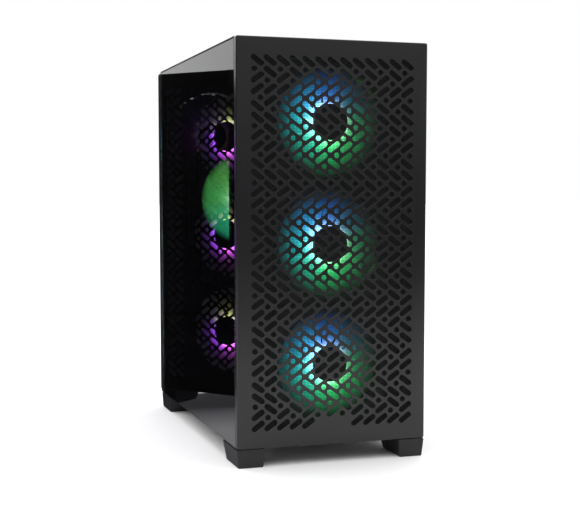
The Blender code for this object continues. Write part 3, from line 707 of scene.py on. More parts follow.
# Colours round a fan, from the right hand side anticlockwise, as the front fans show them.
TEAL_RING = np.array([(0.045, 0.58, 0.20), (0.03, 0.26, 0.42), (0.02, 0.22, 0.80), (0.02, 0.42, 0.85),
                      (0.01, 0.58, 0.60), (0.01, 0.68, 0.42), (0.015, 0.80, 0.20), (0.03, 0.70, 0.17)])
TEAL_LEVEL = np.array([0.34, 0.38, 0.62, 0.95, 1.00, 0.92, 0.85, 0.55])
VIOLET_RING = np.array([(0.62, 0.08, 0.60), (0.40, 0.06, 0.80), (0.30, 0.05, 0.85), (0.35, 0.06, 0.85),
                        (0.50, 0.05, 0.75), (0.65, 0.06, 0.60), (0.40, 0.50, 0.12), (0.62, 0.20, 0.40)])
GREEN_RING = np.array([(0.30, 0.80, 0.05), (0.25, 0.60, 0.06), (0.16, 0.45, 0.08), (0.12, 0.55, 0.10),
                       (0.10, 0.62, 0.14), (0.04, 0.60, 0.28), (0.03, 0.60, 0.34), (0.15, 0.80, 0.15)])


def around(values, angle):
    """Values given at equal angles round a circle, blended smoothly at any angle."""
    place = (angle / (2 * math.pi) * len(values)) % len(values)
    first = np.floor(place).astype(int) % len(values)
    part = place - np.floor(place)
    part = part * part * (3 - 2 * part)
    if values.ndim > 1:
        part = part[..., None]
    return values[first] * (1 - part) + values[(first + 1) % len(values)] * part


def glow_colour(x, z, ring, level, strength, reach=10 * MM, fade=16 * MM, white=0.8):
    """Light in a blade at (x, z) from the fan's axis: white next to the hub, then the ring's colour,
    0.95 exp(-(r - 27 mm) / reach) + 0.10, which fades out over the last stretch before the tip."""
    radius, angle = np.hypot(x, z), np.arctan2(z, x)
    amount = around(level, angle) * strength
    near = np.exp(-np.clip(radius - HUB, 0, None) / (3.2 * MM))
    edge = np.clip((TIP + 1.5 * MM - radius) / fade, 0.0, 1.0)
    wide = (0.95 * np.exp(-(radius - 27 * MM) / reach) + 0.10) * edge
    return around(ring, angle) * (amount * wide)[..., None] + (white * amount * near)[..., None]


def lit_plastic(name):
    """Frosted translucent plastic that glows with the colours kept in the piece's own attribute,
    a little uneven in strength, with a fine frosted bump."""
    material, tree, shader = new_material(name)
    settle(shader, Base_Color=(0.03, 0.033, 0.036, 1.0), Roughness=0.4)
    place = add_node(tree, "TexCoord")
    frost = add_node(tree, "TexNoise", Scale=700.0)
    bump = add_node(tree, "Bump", Strength=0.3, Distance=0.0002)
    clouds = add_node(tree, "TexNoise", Scale=60.0)
    amount = add_node(tree, "MapRange", To_Min=0.94, To_Max=1.06)
    glow = add_node(tree, "Attribute")
    glow.attribute_name = "glow"
    for noise in (frost, clouds):
        join(tree, (place, "Object", noise, "Vector"))
    join(tree, (frost, "Fac", bump, "Height"), (bump, "Normal", shader, "Normal"),
         (clouds, "Fac", amount, "Value"), (amount, "Result", shader, "Emission Strength"),
         (glow, "Color", shader, "Emission Color"))
    return material


blade_plastic = lit_plastic("blade_plastic")


def rounded_square(half, corner, angle):
    """Points of a rounded square at given angles: a ray meets either a flat side, at half over the
    larger of |cos| and |sin|, or the corner's circle, by the quadratic for ray and circle."""
    direction = np.stack([np.cos(angle), np.sin(angle)], axis=-1)
    flat = half / np.abs(direction).max(axis=-1)
    centre = np.sign(direction) * (half - corner)
    along = (direction * centre).sum(axis=-1)
    under = along ** 2 - (centre ** 2).sum(axis=-1) + corner ** 2
    on_corner = np.abs(direction * flat[:, None]).min(axis=-1) > half - corner
    reach = np.where(on_corner, along + np.sqrt(np.clip(under, 0, None)), flat)
    return direction * reach[:, None]


def fan_frame_shape():
    """The square frame: a profile of square and round rings joined into a closed tube."""
    count = 120
    angle = np.arange(count) * 2 * math.pi / count
    square = rounded_square(FAN_HALF, 7 * MM, angle)
    bore, lip, barrel = (circle(r, count) for r in (BORE, BORE + 0.9 * MM, FAN_HALF - 1.2 * MM))
    half = FAN_DEPTH / 2
    inset = square * (1 - 0.5 * MM / FAN_HALF)
    profile = [(inset, -half), (lip, -half), (bore, -half + 1.0 * MM), (bore, half - 1.0 * MM),
               (lip, half), (inset, half), (square, half - 0.5 * MM), (square, half - 4 * MM),
               (barrel, half - 4.3 * MM), (barrel, -half + 4.3 * MM), (square, -half + 4 * MM),
               (square, -half + 0.5 * MM)]
    points = np.stack([np.column_stack([p[:, 0], np.full(count, y), p[:, 1]]) for p, y in profile])
    faces = grid_faces(len(profile), count, close_rows=True, close_columns=True)
    return points.reshape(-1, 3), faces.tolist()


def bar_along(start, end, width, depth, bow=0.0, steps=8):
    """A rounded bar from one point to another in the fan's plane, bowed sideways."""
    start, end = np.asarray(start, float), np.asarray(end, float)
    t = np.linspace(0, 1, steps)[:, None]
    along = end - start
    side = np.array([-along[2], 0.0, along[0]]) / np.linalg.norm(along)
    path = start + along * t + side * bow * np.sin(math.pi * t)
    section = rounded_rectangle(width, depth, min(width, depth) * 0.3, 3)
    rings = path[:, None, :] + section[None, :, :1] * side + section[None, :, 1:] * np.array([0, 1.0, 0])
    return rings.reshape(-1, 3), closed_tube(steps, len(section))


def fan_arms_shape():
    """The motor plate and four bowed arms at the rear of the frame."""
    half = FAN_DEPTH / 2
    plate = [(2 * MM, half - 3.6 * MM), (HUB - 0.5 * MM, half - 3.6 * MM), (HUB, half - 3 * MM),
             (HUB, half - 0.8 * MM), (HUB - 0.8 * MM, half - 0.1 * MM), (2 * MM, half - 0.1 * MM)]
    parts = [turned(plate, 40, "Y", (0, 0, 0))]
    for k in range(4):
        a, b = math.radians(90 * k), math.radians(90 * k + 14)
        start = (HUB * 0.9 * math.cos(a), half - 1.8 * MM, HUB * 0.9 * math.sin(a))
        end = ((BORE + 0.8 * MM) * math.cos(b), half - 1.8 * MM, (BORE + 0.8 * MM) * math.sin(b))
        parts.append(bar_along(start, end, 4.6 * MM, 3.0 * MM, 2.2 * MM))
    return several(parts)


def hub_shape():
    """The hub: a flat face with a shallow dish and a rounded rim, open towards the motor."""
    profile = [(1.0, -10.9), (13.5, -10.9), (14.2, -11.4), (17.6, -11.5), (18.6, -11.0), (19.0, -9.8),
               (19.0, 6.8), (1.0, 6.8)]
    return turned(np.array(profile) * MM, 64, "Y", (0, 0, 0))


def blade_skin(front, back):
    """A closed blade from two grids of points, (rows, columns, 3) each, joined round their border."""
    rows, columns, _ = front.shape
    grid = np.arange(rows * columns).reshape(rows, columns)
    border = np.concatenate([grid[0], grid[1:, -1], grid[-1, -2::-1], grid[-2:0:-1, 0]])
    after = np.roll(border, -1)
    skin = grid_faces(rows, columns)
    edge = np.stack([after, border, border + grid.size, after + grid.size], axis=-1)
    points = np.concatenate([front.reshape(-1, 3), back.reshape(-1, 3)])
    return points, np.concatenate([skin, skin[:, ::-1] + grid.size, edge]).tolist()


def blades_shape():
    """Eleven swept blades. A point at span s and chord c lies at radius root + s (tip - root), at
    angle sweep s^1.4 + c width, and at depth rise c (1 - s / 4) - 1.2 (1 - c^2) mm for the camber."""
    s = np.linspace(0, 1, 14)[:, None]
    c = np.linspace(-1, 1, 11)[None, :]
    root, width = HUB - 0.8 * MM, math.radians(360 / BLADES * 0.6)
    radius = root + (TIP - root) * s + 0 * c
    radius = radius * (1.0 - 0.05 * np.clip(np.abs(c) - 0.6, 0, None) / 0.4 * s ** 8)
    angle = math.radians(24) * s ** 1.4 + c * width
    depth = 7.2 * MM * c * (1 - 0.25 * s) - 1.2 * MM * (1 - c * c)
    thick = 0.7 * MM * (1 - 0.75 * c * c) * (1 - 0.3 * s) + 0 * s
    parts = []
    for turn in (angle + 2 * math.pi * k / BLADES for k in range(BLADES)):
        x, z = radius * np.sin(turn), radius * np.cos(turn)
        parts.append(blade_skin(*(np.stack([x, depth + sign * thick, z], axis=-1) for sign in (-1, 1))))
    return several(parts)


def light_ring_shape():
    """The clear ring at the hub's side where the light comes out: a thin turned band."""
    profile = [(19.05, -8.6), (20.6, -8.2), (21.2, -7.0), (21.2, 4.6), (20.6, 5.8), (19.05, 6.2)]
    turn = np.arange(64) * 2 * math.pi / 64
    p = np.array(profile) * MM
    rings = np.stack([p[:, :1] * np.cos(turn), p[:, 1:] + 0 * turn, p[:, :1] * np.sin(turn)], axis=-1)
    return rings.reshape(-1, 3), grid_faces(len(profile), 64, close_rows=True, close_columns=True).tolist()


def set_glow(piece, centre, colour_at):
    """Fill a piece's glow with the colour at each vertex, by its (x, z) from the fan's centre."""
    place = np.empty(3 * len(piece.data.vertices))
    piece.data.vertices.foreach_get("co", place)
    place = place.reshape(-1, 3) - centre
    colour = colour_at(place[:, 0], place[:, 2])
    colour = np.column_stack([colour, np.ones(len(colour))])
    piece.data.attributes["glow"].data.foreach_set("color", colour.ravel())


def case_fan(name, body, slot_name, ring, level, strength, reach=10 * MM, fade=16 * MM):
    """One complete fan: frame and arms on the chassis, hub, blades and light ring on the rotor."""
    centre = measured(name + "_frame")[3]
    for part, shape, holder, node in (("housing", fan_frame_shape, "chassis", [name + "_frame"]),
                                      ("arms", fan_arms_shape, "chassis", []),
                                      ("hub", hub_shape, body, [name + "_rotor"])):
        verts, faces = shape()
        make_piece(f"{name}_{part}", verts + centre, faces, fan_black, holder, "fan_frame", stands_for=node)
    for part, shape in (("blades", blades_shape), ("light_ring", light_ring_shape)):
        verts, faces = shape()
        piece = make_piece(f"{name}_{part}", verts + centre, faces, blade_plastic, body, slot_name, 50.0)
        piece.data.attributes.new("glow", "FLOAT_COLOR", "POINT")
        set_glow(piece, centre, lambda x, z: glow_colour(x, z, ring, level, strength, reach, fade))


for number in (1, 2, 3):
    case_fan(f"front_fan_{number}", f"front_rotor_{number}", "front_blade", TEAL_RING, TEAL_LEVEL, 2.0)
case_fan("rear_fan", "rear_rotor", "rear_blade", VIOLET_RING, np.full(8, 1.0), 0.05)
case_fan("cooler_fan", "cooler_rotor", "cooler_blade", GREEN_RING, np.full(8, 1.0), 3.2, 40 * MM, 8 * MM)

# ---------------------------------------------------------------------------------------------
# Main board: a black lacquered board on standoffs, with its sockets, chokes, capacitors and
# connectors soldered to it, and the metal port block that shows through the rear wall.

BOARD_FACE = measured("main_board")[0][0] - 0.05 * MM


def lacquered_board(name):
    """Circuit board: dark lacquer, with fine straight tracks a little lighter and prouder."""
    material, tree, shader = new_material(name)
    settle(shader, Roughness=0.35)
    place = add_node(tree, "TexCoord")
    tracks = add_node(tree, "TexBrick", Scale=60.0, Color1=(0.010, 0.011, 0.013, 1.0),
                      Color2=(0.016, 0.017, 0.020, 1.0), Mortar=(0.030, 0.032, 0.036, 1.0),
                      Mortar_Size=0.03)
    turn = add_node(tree, "Mapping", Rotation=(0.0, math.pi / 2, 0.0))
    bump = add_node(tree, "Bump", Distance=0.0001)
    join(tree, (place, "Object", turn, "Vector"), (turn, "Vector", tracks, "Vector"),
         (tracks, "Color", shader, "Base Color"), (tracks, "Fac", bump, "Height"),
         (bump, "Normal", shader, "Normal"))
    return material


def bare_metal(name, colour, roughness, scale=(900.0, 40.0, 900.0)):
    """Bare metal with a faint drawn grain along its length."""
    material, tree, shader = new_material(name)
    settle(shader, Base_Color=(*colour, 1.0), Metallic=1.0)
    place = add_node(tree, "TexCoord")
    stretch = add_node(tree, "Mapping", Scale=scale)
    grain = add_node(tree, "TexNoise", Scale=1.0)
    gloss = add_node(tree, "MapRange", To_Min=roughness - 0.08, To_Max=roughness + 0.08)
    join(tree, (place, "Object", stretch, "Vector"), (stretch, "Vector", grain, "Vector"),
         (grain, "Fac", gloss, "Value"), (gloss, "Result", shader, "Roughness"))
    return material


def block(low, high, edge=0.4 * MM):
    """A box with rounded uprights and broken edges: four rings and two flat faces."""
    low, high = np.asarray(low, float), np.asarray(high, float)
    size, middle = high - low, (low + high) / 2
    outline = rounded_rectangle(size[0], size[1], edge * 1.3, 3)
    rings = [(edge, low[2]), (0.0, low[2] + edge), (0.0, high[2] - edge), (edge, high[2])]
    points = [np.column_stack([grown(outline, -inset) + middle[:2], np.full(len(outline), z)])
              for inset, z in rings]
    return np.concatenate(points), closed_tube(4, len(outline))


def on_board(y, z, size_y, size_z, height, edge=0.3 * MM):
    """A block that stands on the board's face, centred at (y, z) in millimetres."""
    low = (BOARD_FACE - height * MM, (y - size_y / 2) * MM, (z - size_z / 2) * MM)
    return block(low, (BOARD_FACE, (y + size_y / 2) * MM, (z + size_z / 2) * MM), edge)


refinish(lacquered_board("board_lacquer"), "main_board")
bright_metal = bare_metal("bright_metal", (0.50, 0.50, 0.52), 0.34)
dark_metal = bare_metal("dark_metal", (0.07, 0.07, 0.075), 0.40)
white_metal = bare_metal("fin_metal", (0.62, 0.63, 0.65), 0.30)
gold = bare_metal("gold_contact", (0.80, 0.55, 0.20), 0.25)
refinish(bright_metal, "rear_ports")
refinish(dark_metal, "port_shield", "regulator_heatsink")


def board_parts():
    """Sockets, chips and connectors in black, and the bright parts between them."""
    black, bright = [], []
    for y in (27.0, 55.5):
        black += [on_board(y, 276.5, 6.4, 139.0, 7.0), on_board(y, 205.0, 7.4, 6.0, 12.0),
                  on_board(y, 348.5, 7.4, 6.0, 12.0)]
    for y in (36.5, 46.0):
        black += [on_board(y, 205.5, 7.4, 6.0, 12.0), on_board(y, 348.0, 7.4, 6.0, 12.0)]
    black += [on_board(105, 145, 90.0, 7.6, 10.0), on_board(105, 184.5, 90.0, 7.6, 3.4)]
    black += [on_board(-31, z, 9.0, 15.0, 11.0) for z in (222, 240, 258)]
    black += [on_board(y, 129.5, 14.0, 5.0, 8.0) for y in (-20, 10, 40, 140, 160)]
    black += [on_board(y, z, size, size, 1.4, 0.15 * MM)
              for y, z, size in ((5, 232, 12), (150, 160, 9), (148, 222, 7), (70, 226, 10), (12, 352, 8))]
    black.append(block((58 * MM, 138 * MM, 345.5 * MM), (69.7 * MM, 154 * MM, 358.5 * MM)))
    bright += [on_board(134.5, z, 7.2, 7.2, 5.5, 0.8 * MM) for z in np.arange(254, 338, 11.0)]
    bright += [on_board(y, 347.0, 7.2, 7.2, 5.5, 0.8 * MM) for y in np.arange(72, 134, 11.0)]
    can = [(0.4, 0), (3.0, 0), (3.1, 0.6), (2.9, 1.2), (3.1, 1.6), (3.1, 7.4), (2.8, 8.0), (0.4, 8.0)]
    can = np.array([(r, -h) for r, h in can]) * MM
    places = [(y, 359.0) for y in np.arange(62, 134, 9.0)] + [(y, 137.0) for y in np.arange(-8, 30, 9.0)]
    places += [(y, 160.0) for y in np.arange(128, 164, 8.5)] + [(-28.0, z) for z in np.arange(140, 200, 9.0)]
    bright += [turned(can, 14, "X", (BOARD_FACE, y * MM, z * MM)) for y, z in places]
    screw = [(0.3, 0), (3.0, 0), (3.0, -1.2), (2.4, -2.0), (0.9, -2.0), (0.8, -1.0), (0.2, -1.0)]
    screw = np.array(screw) * MM
    bright += [turned(screw, 16, "X", (BOARD_FACE, y * MM, z * MM))
               for y in (-32, 78, 158) for z in (131.5, 363.5)]
    make_piece("board_sockets", *several(black), black_plastic, "chassis", "black_plastic")
    make_piece("board_cans", *several(bright), bright_metal, "chassis", "port_metal")
    crest, valley = BOARD_FACE - 9 * MM, BOARD_FACE - 7.4 * MM
    ribs = [(BOARD_FACE, -24), (crest, -24)]
    for y in range(-24, 24, 4):
        ribs += [(crest, y + 2.6), (valley, y + 2.8), (valley, y + 3.8), (crest, y + 4)]
    ribs = np.array([(x, y * MM) for x, y in ribs + [(BOARD_FACE, 24)]])
    make_piece("chipset_heatsink", *prism(ribs, 141.5 * MM, 163 * MM, "Z"), dark_metal, "chassis",
               "fin_aluminium")


def socket_frame():
    """The clamp round the processor: a thick plate with a square window and four screws."""
    thick = 4.5 * MM
    plate = punched_sheet(rounded_rectangle(58 * MM, 62 * MM, 4 * MM, 5), flat_rim(thick),
                          [(rounded_rectangle(44 * MM, 44 * MM, 2 * MM, 4), [(0, 0)])], thick)
    make_piece("socket_clamp", *laid(plate, (BOARD_FACE - thick, 109 * MM, 277.5 * MM), "yzx"), dark_metal,
               "chassis", "fin_aluminium")


def memory(name):
    """A memory stick under a heat spreader: a folded shell with fine vertical ribs and a stepped top."""
    low, high, size, middle = measured(name)
    half, count, stick = size[1] / 2, 120, 3.4 * MM
    z = np.linspace(low[2], high[2], count)
    wave = 0.35 * MM * (np.arange(count) % 4 < 2) * (z > low[2] + 12 * MM) * (z < high[2] - 12 * MM)
    rings = []
    for x, width, ribbed in ((high[0], 1.2 * MM, 0), (high[0] - 6 * MM, 1.2 * MM, 0),
                             (high[0] - 6 * MM, half, 0), (low[0] + stick, half, 1),
                             (low[0] + 0.8 * MM, half - 1.2 * MM, 0), (low[0], 1.6 * MM, 0)):
        w = width - wave * ribbed
        side, other = (np.stack([np.full(count, x), middle[1] + sign * w, z], axis=-1) for sign in (-1, 1))
        rings.append(np.concatenate([side, other[::-1]]))
    faces = grid_faces(len(rings), 2 * count, close_columns=True).tolist()
    caps = [[k, k + 1, 2 * count - 2 - k, 2 * count - 1 - k] for k in range(count - 1)]
    faces += caps + [[(len(rings) - 1) * 2 * count + k for k in cap] for cap in caps]
    make_piece(name + "_stick", np.concatenate(rings), faces, dark_metal, "chassis", "black_plastic",
               stands_for=[name])


def ports():
    """Tongues and contacts inside the mouths of the rear and top ports."""
    tongues, contacts = [], []
    for opening in frame["record"]["physics"]["openings"]:
        name, (low, high) = opening["name"], np.array(opening["box_m"])
        middle, size = (low + high) / 2, high - low
        deep = low[1] - 0.4 * MM
        if name == "rear_port_5":
            for z in middle[2] + np.arange(-4, 4) * 1.1 * MM:
                contacts.append(block((middle[0] - 4 * MM, deep, z - 0.2 * MM),
                                      (middle[0] - 2.6 * MM, deep + 7 * MM, z + 0.2 * MM), 0.05 * MM))
        elif name.startswith("rear_port"):
            thick = size[0] * 0.17
            tongues.append(block((middle[0] - thick, deep, low[2] + 1.2 * MM),
                                 (middle[0] + thick, deep + 8 * MM, high[2] - 1.2 * MM), 0.2 * MM))
        elif name.startswith("top_port"):
            thick = size[1] * 0.17
            tongues.append(block((low[0] + 1.3 * MM, middle[1] - thick, low[2] - 0.3 * MM),
                                 (high[0] - 1.3 * MM, middle[1] + thick, low[2] + 8 * MM), 0.2 * MM))
    make_piece("port_tongues", *several(tongues), black_plastic, "chassis", "black_plastic")
    make_piece("port_contacts", *several(contacts), gold, "chassis", "port_metal")


board_parts()
socket_frame()
memory("memory_1")
memory("memory_2")
ports()

# ---------------------------------------------------------------------------------------------
# Processor cooler: a nickel-plated foot, five bent heat pipes and a stack of thin aluminium fins
# pressed on them, with a black cap. Its fan is clipped to the front of the stack.

FINS = 46
PIPE = 3.0 * MM
refinish(bright_metal, "cooler_base")


def cooler_stack():
    """Thin fins across the pipes. A fin is a plate whose long edges are cut in a shallow zigzag."""
    low, _, size, middle = measured("cooler_fins")
    t = np.linspace(-0.5, 0.5, 25)
    zigzag = size[1] / 2 - 2.5 * MM * np.abs(np.mod(4 * (t + 0.5), 1.0) - 0.5) * 2
    right = np.column_stack([zigzag, t * size[2]])
    outline = np.concatenate([right, [(-a, b) for a, b in right[::-1]]]) + middle[1:]
    thick, first = 0.5 * MM, low[0] + 3 * MM
    pitch = (size[0] - thick - 3 * MM) / (FINS - 1)
    fins = [prism(outline, first + k * pitch, first + k * pitch + thick, "X") for k in range(FINS)]
    make_piece("cooler_fin_stack", *several(fins), white_metal, "chassis", "fin_aluminium",
               stands_for=["cooler_fins"])
    grooves = [(capsule((0, 22 * MM), 2.0 * MM), [(y * MM, 0.0) for y in (-12, -4, 4, 12)])]
    cap = punched_sheet(rounded_rectangle(size[1], size[2], 4 * MM, 5),
                        [(0.8 * MM, 0.0), (0.0, 0.8 * MM), (0.0, 2.4 * MM)], grooves, 2.4 * MM)
    make_piece("cooler_cap", *laid(cap, (low[0], middle[1], middle[2]), "yzx"), black_coat, "chassis",
               "black_plastic")


def tube(path, radius, count=12):
    """A round tube along a path: circles in the plane across each point's direction, closed at the ends."""
    path = np.asarray(path, float)
    along = np.gradient(path, axis=0)
    along /= np.linalg.norm(along, axis=1, keepdims=True)
    across = np.cross(along, (0.31, 0.87, 0.38))
    across /= np.linalg.norm(across, axis=1, keepdims=True)
    other = np.cross(along, across)
    turn = np.arange(count) * 2 * math.pi / count
    rings = (path[:, None, :] + radius * (np.cos(turn)[None, :, None] * across[:, None, :]
                                          + np.sin(turn)[None, :, None] * other[:, None, :]))
    return rings.reshape(-1, 3), closed_tube(len(path), count)


def heat_pipes():
    """Each pipe runs flat through the foot, bends a quarter circle and rises through the fins."""
    low, _, _, fins = measured("cooler_fins")
    _, base_high, _, base = measured("cooler_base")
    foot, bend = base_high[0] - 5 * MM, 12 * MM
    turn = np.linspace(0, math.pi / 2, 8)
    pipes = []
    for k, y in enumerate(base[1] + np.linspace(-15, 15, 5) * MM):
        for side in (-1, 1):
            reach = (24 + 13 * (k % 2)) * MM * side
            corner_x = foot - bend * (1 - np.cos(turn))
            corner_z = fins[2] + reach - side * bend + side * bend * np.sin(turn)
            path = [(foot, y, fins[2])] + [(a, y, b) for a, b in zip(corner_x, corner_z)]
            pipes.append(tube(path + [(low[0] + 2.6 * MM, y, fins[2] + reach)], PIPE))
    make_piece("heat_pipes", *several(pipes), bright_metal, "chassis", "fin_aluminium")


cooler_stack()
heat_pipes()

# ---------------------------------------------------------------------------------------------
# Graphics card: a ribbed black shroud with two fans that face down, a metal back plate on top, a
# punched bracket with three video ports, and a power plug at the front end.

refinish(black_plastic, "card_body")


def disc_blades(name, body, count, root, tip, rise, hub_low, hub_high):
    """A small flat rotor about Z: a turned hub with a shallow dish, and swept, twisted blades at
    angle 30 s^1.3 degrees + c width and height rise c (1 - 0.3 s), for span s and chord c."""
    centre = measured(name)[3]
    hub = [(0.5 * MM, hub_low + 0.6 * MM), (root * 0.6, hub_low + 0.6 * MM), (root * 0.7, hub_low),
           (root - 0.8 * MM, hub_low), (root, hub_low + 0.8 * MM), (root, hub_high), (0.5 * MM, hub_high)]
    parts = [turned(hub, 40, "Z", centre)]
    s, c = np.linspace(0, 1, 10)[:, None], np.linspace(-1, 1, 8)[None, :]
    radius = root - 0.6 * MM + (tip - root + 0.6 * MM) * s + 0 * c
    height, thick = rise * c * (1 - 0.3 * s), 0.5 * MM * (1 - 0.7 * c * c) + 0 * s
    for k in range(count):
        angle = math.radians(30) * s ** 1.3 + c * math.pi / count * 0.86 + 2 * math.pi * k / count
        x, y = radius * np.cos(angle), radius * np.sin(angle)
        parts.append(blade_skin(*(np.stack([x, y, height + sign * thick], axis=-1) + centre
                                  for sign in (-1, 1))))
    make_piece(name + "_rotor", *several(parts), fan_black, body, "fan_frame", 40.0, [name])


def back_plate():
    """The plate on the card's upper side, with a field of slanting vents at its front end."""
    low, high, size, middle = measured("card_body")
    vents = [(x * MM, y * MM) for x in np.arange(-42, 43, 12) for y in np.arange(-104, -60, 9)]
    thick = 1.1 * MM
    plate = punched_sheet(rounded_rectangle(size[0] - 4 * MM, size[1] - 4 * MM, 4 * MM, 5), flat_rim(thick),
                          [(capsule((4.2 * MM, 1.6 * MM), 3.0 * MM), vents)], thick)
    make_piece("card_back_plate", *laid(plate, (middle[0], middle[1], high[2] + 0.1 * MM + thick), "xyZ"),
               dark_metal, "chassis", "black_plastic")
    ribs, out, inward = [], low[0] - 1.0 * MM, low[0] + 0.4 * MM
    for y in low[1] + (18 + 46 * np.arange(5)) * MM:
        ribs += [block((out, y, low[2] + 5 * MM), (inward, y + 30 * MM, low[2] + 9 * MM)),
                 block((out, y + 8 * MM, high[2] - 9 * MM), (inward, y + 38 * MM, high[2] - 5 * MM))]
    ribs.append(block((-5 * MM, low[1] - 9 * MM, 176 * MM), (13 * MM, low[1] - 0.2 * MM, 192 * MM)))
    make_piece("card_trim", *several(ribs), black_plastic, "chassis", "black_plastic")


def card_bracket():
    """The steel bracket: vents over the upper slot, and cut-outs for three video ports in the lower."""
    low, high, size, middle = measured("card_bracket")
    vents = [(x * MM, 9.5 * MM) for x in np.arange(-44, 45, 8)]
    mouths = [(x * MM, -8.5 * MM) for x in (-26, -2, 22)]
    holes = [(capsule((0, 3.0 * MM), 4.6 * MM), vents),
             (rounded_rectangle(17 * MM, 6.2 * MM, 1.2 * MM, 4), mouths)]
    outline = rounded_rectangle(size[0], size[2], 1 * MM, 3)
    plate = punched_sheet(outline, flat_rim(size[1]), holes, size[1])
    make_piece("card_bracket_plate", *laid(plate, (middle[0], high[1], middle[2]), "xzY"), bright_metal,
               "chassis", "port_metal", stands_for=["card_bracket"])
    tongues = [block((middle[0] + x - 6 * MM, low[1] - 0.25 * MM, middle[2] + z - 0.8 * MM),
                     (middle[0] + x + 6 * MM, high[1] - 0.3 * MM, middle[2] + z + 0.8 * MM), 0.2 * MM)
               for x, z in mouths]
    make_piece("video_tongues", *several(tongues), black_plastic, "chassis", "black_plastic")


disc_blades("card_fan_1", "card_rotor_1", 9, 15 * MM, 43.5 * MM, 3.2 * MM, -5 * MM, 5 * MM)
disc_blades("card_fan_2", "card_rotor_2", 9, 15 * MM, 43.5 * MM, 3.2 * MM, -5 * MM, 5 * MM)
back_plate()
card_bracket()

# ---------------------------------------------------------------------------------------------
# Power supply: a black steel box with a honeycomb rear, a mains inlet with three pins, a rocker
# switch in a bezel, and a large fan behind a wire guard underneath.

PSU_WALL = 1.2 * MM
refinish(black_plastic, "psu_inlet", "psu_switch")


def supply_box():
    """Three folded walls and a front end, a floor with the fan's hole, and the punched rear."""
    low, high, size, middle = measured("psu_case")
    fan, inlet, rocker = (measured(node)[3] for node in ("psu_fan", "psu_inlet", "psu_switch"))
    wall, rear = PSU_WALL, high[1] - PSU_WALL
    left, right, base, lid = low[0] + wall, high[0] - wall, low[2] + wall, high[2] - wall
    folded = np.array([(low[0], base), (low[0], high[2]), (high[0], high[2]), (high[0], base),
                       (right, base), (right, lid), (left, lid), (left, base)])
    parts = [prism(folded, low[1], rear - 0.05 * MM, "Y"),
             block((left, low[1], base), (right, low[1] + wall, lid), 0.1 * MM)]
    fan_at = (fan[0] - middle[0], fan[1] - middle[1] + wall / 2)
    floor = punched_sheet(rounded_rectangle(size[0], size[1] - wall, 0.8 * MM, 3), flat_rim(wall),
                          [(circle(61 * MM, 64), [fan_at])], wall)
    parts.append(laid(floor, (middle[0], middle[1] - wall / 2, low[2]), "xyz"))
    inlet_at, rocker_at = ((c - middle)[[0, 2]] for c in (inlet, rocker))

    def clear(u, v):
        """Whether a vent at (u, v) keeps off the rear's edges, the inlet and the switch."""
        return (abs(u) < size[0] / 2 - 6 * MM and abs(v) < size[2] / 2 - 6 * MM
                and not (abs(u - inlet_at[0]) < 19 * MM and abs(v - inlet_at[1]) < 15 * MM)
                and not (abs(u - rocker_at[0]) < 13 * MM and abs(v - rocker_at[1]) < 15 * MM))

    holes = [(circle(GRILLE_HOLE, 6, math.pi / 6), honeycomb((0, 0), 92 * MM, GRILLE_STEP, clear)),
             (rounded_rectangle(27.6 * MM, 20.6 * MM, 1 * MM, 3), [inlet_at]),
             (rounded_rectangle(13.4 * MM, 19.0 * MM, 0.8 * MM, 3), [rocker_at])]
    rear_end = punched_sheet(rounded_rectangle(size[0], size[2], 1 * MM, 3), flat_rim(wall), holes, wall)
    parts.append(laid(rear_end, (middle[0], high[1], middle[2]), "xzY"))
    make_piece("supply_shell", *several(parts), black_coat, "chassis", "chassis_steel",
               stands_for=["psu_case"])
    bezel = punched_sheet(rounded_rectangle(16.4 * MM, 22 * MM, 2 * MM, 4), flat_rim(0.7 * MM),
                          [(rounded_rectangle(13.0 * MM, 18.6 * MM, 0.6 * MM, 3), [(0, 0)])], 0.7 * MM)
    make_piece("switch_bezel", *laid(bezel, (rocker[0], high[1] + 0.75 * MM, rocker[2]), "xzY"),
               black_plastic, "chassis", "black_plastic")
    pins = [block((inlet[0] + x - 1.0 * MM, high[1] - 13.8 * MM, inlet[2] + z - 2.6 * MM),
                  (inlet[0] + x + 1.0 * MM, high[1] - 3 * MM, inlet[2] + z + 2.6 * MM), 0.3 * MM)
            for x, z in ((-7 * MM, -1.5 * MM), (0.0, 2.0 * MM), (7 * MM, -1.5 * MM))]
    make_piece("inlet_pins", *several(pins), bright_metal, "chassis", "port_metal")
    guard = []
    for radius in np.arange(18, 64, 7.5) * MM:
        ring = np.column_stack([circle(radius, 48), np.zeros(48)]) + (fan[0], fan[1], low[2] - 0.7 * MM)
        guard.append(tube(np.concatenate([ring, ring[:1]]), 0.6 * MM, 6))
    hub = np.array([fan[0], fan[1], low[2] - 0.1 * MM])
    for angle in np.arange(4) * math.pi / 2 + math.pi / 4:
        ray = np.array([math.cos(angle), math.sin(angle), 0.0])
        guard.append(tube([hub + ray * r * MM for r in (16, 40, 64)], 0.6 * MM, 6))
    make_piece("fan_guard", *several(guard), bright_metal, "chassis", "port_metal")


supply_box()
disc_blades("psu_fan", "psu_rotor", 9, 19 * MM, 57 * MM, 5.4 * MM, -8.5 * MM, 8.5 * MM)

# ---------------------------------------------------------------------------------------------
# Drives: a hard disk with a pressed lid in a steel cage, and a flat drive behind the board tray.

refinish(bare_metal("cast_aluminium", (0.30, 0.30, 0.31), 0.5, (300.0, 300.0, 300.0)), "hard_disk")
refinish(black_plastic, "flat_drive")


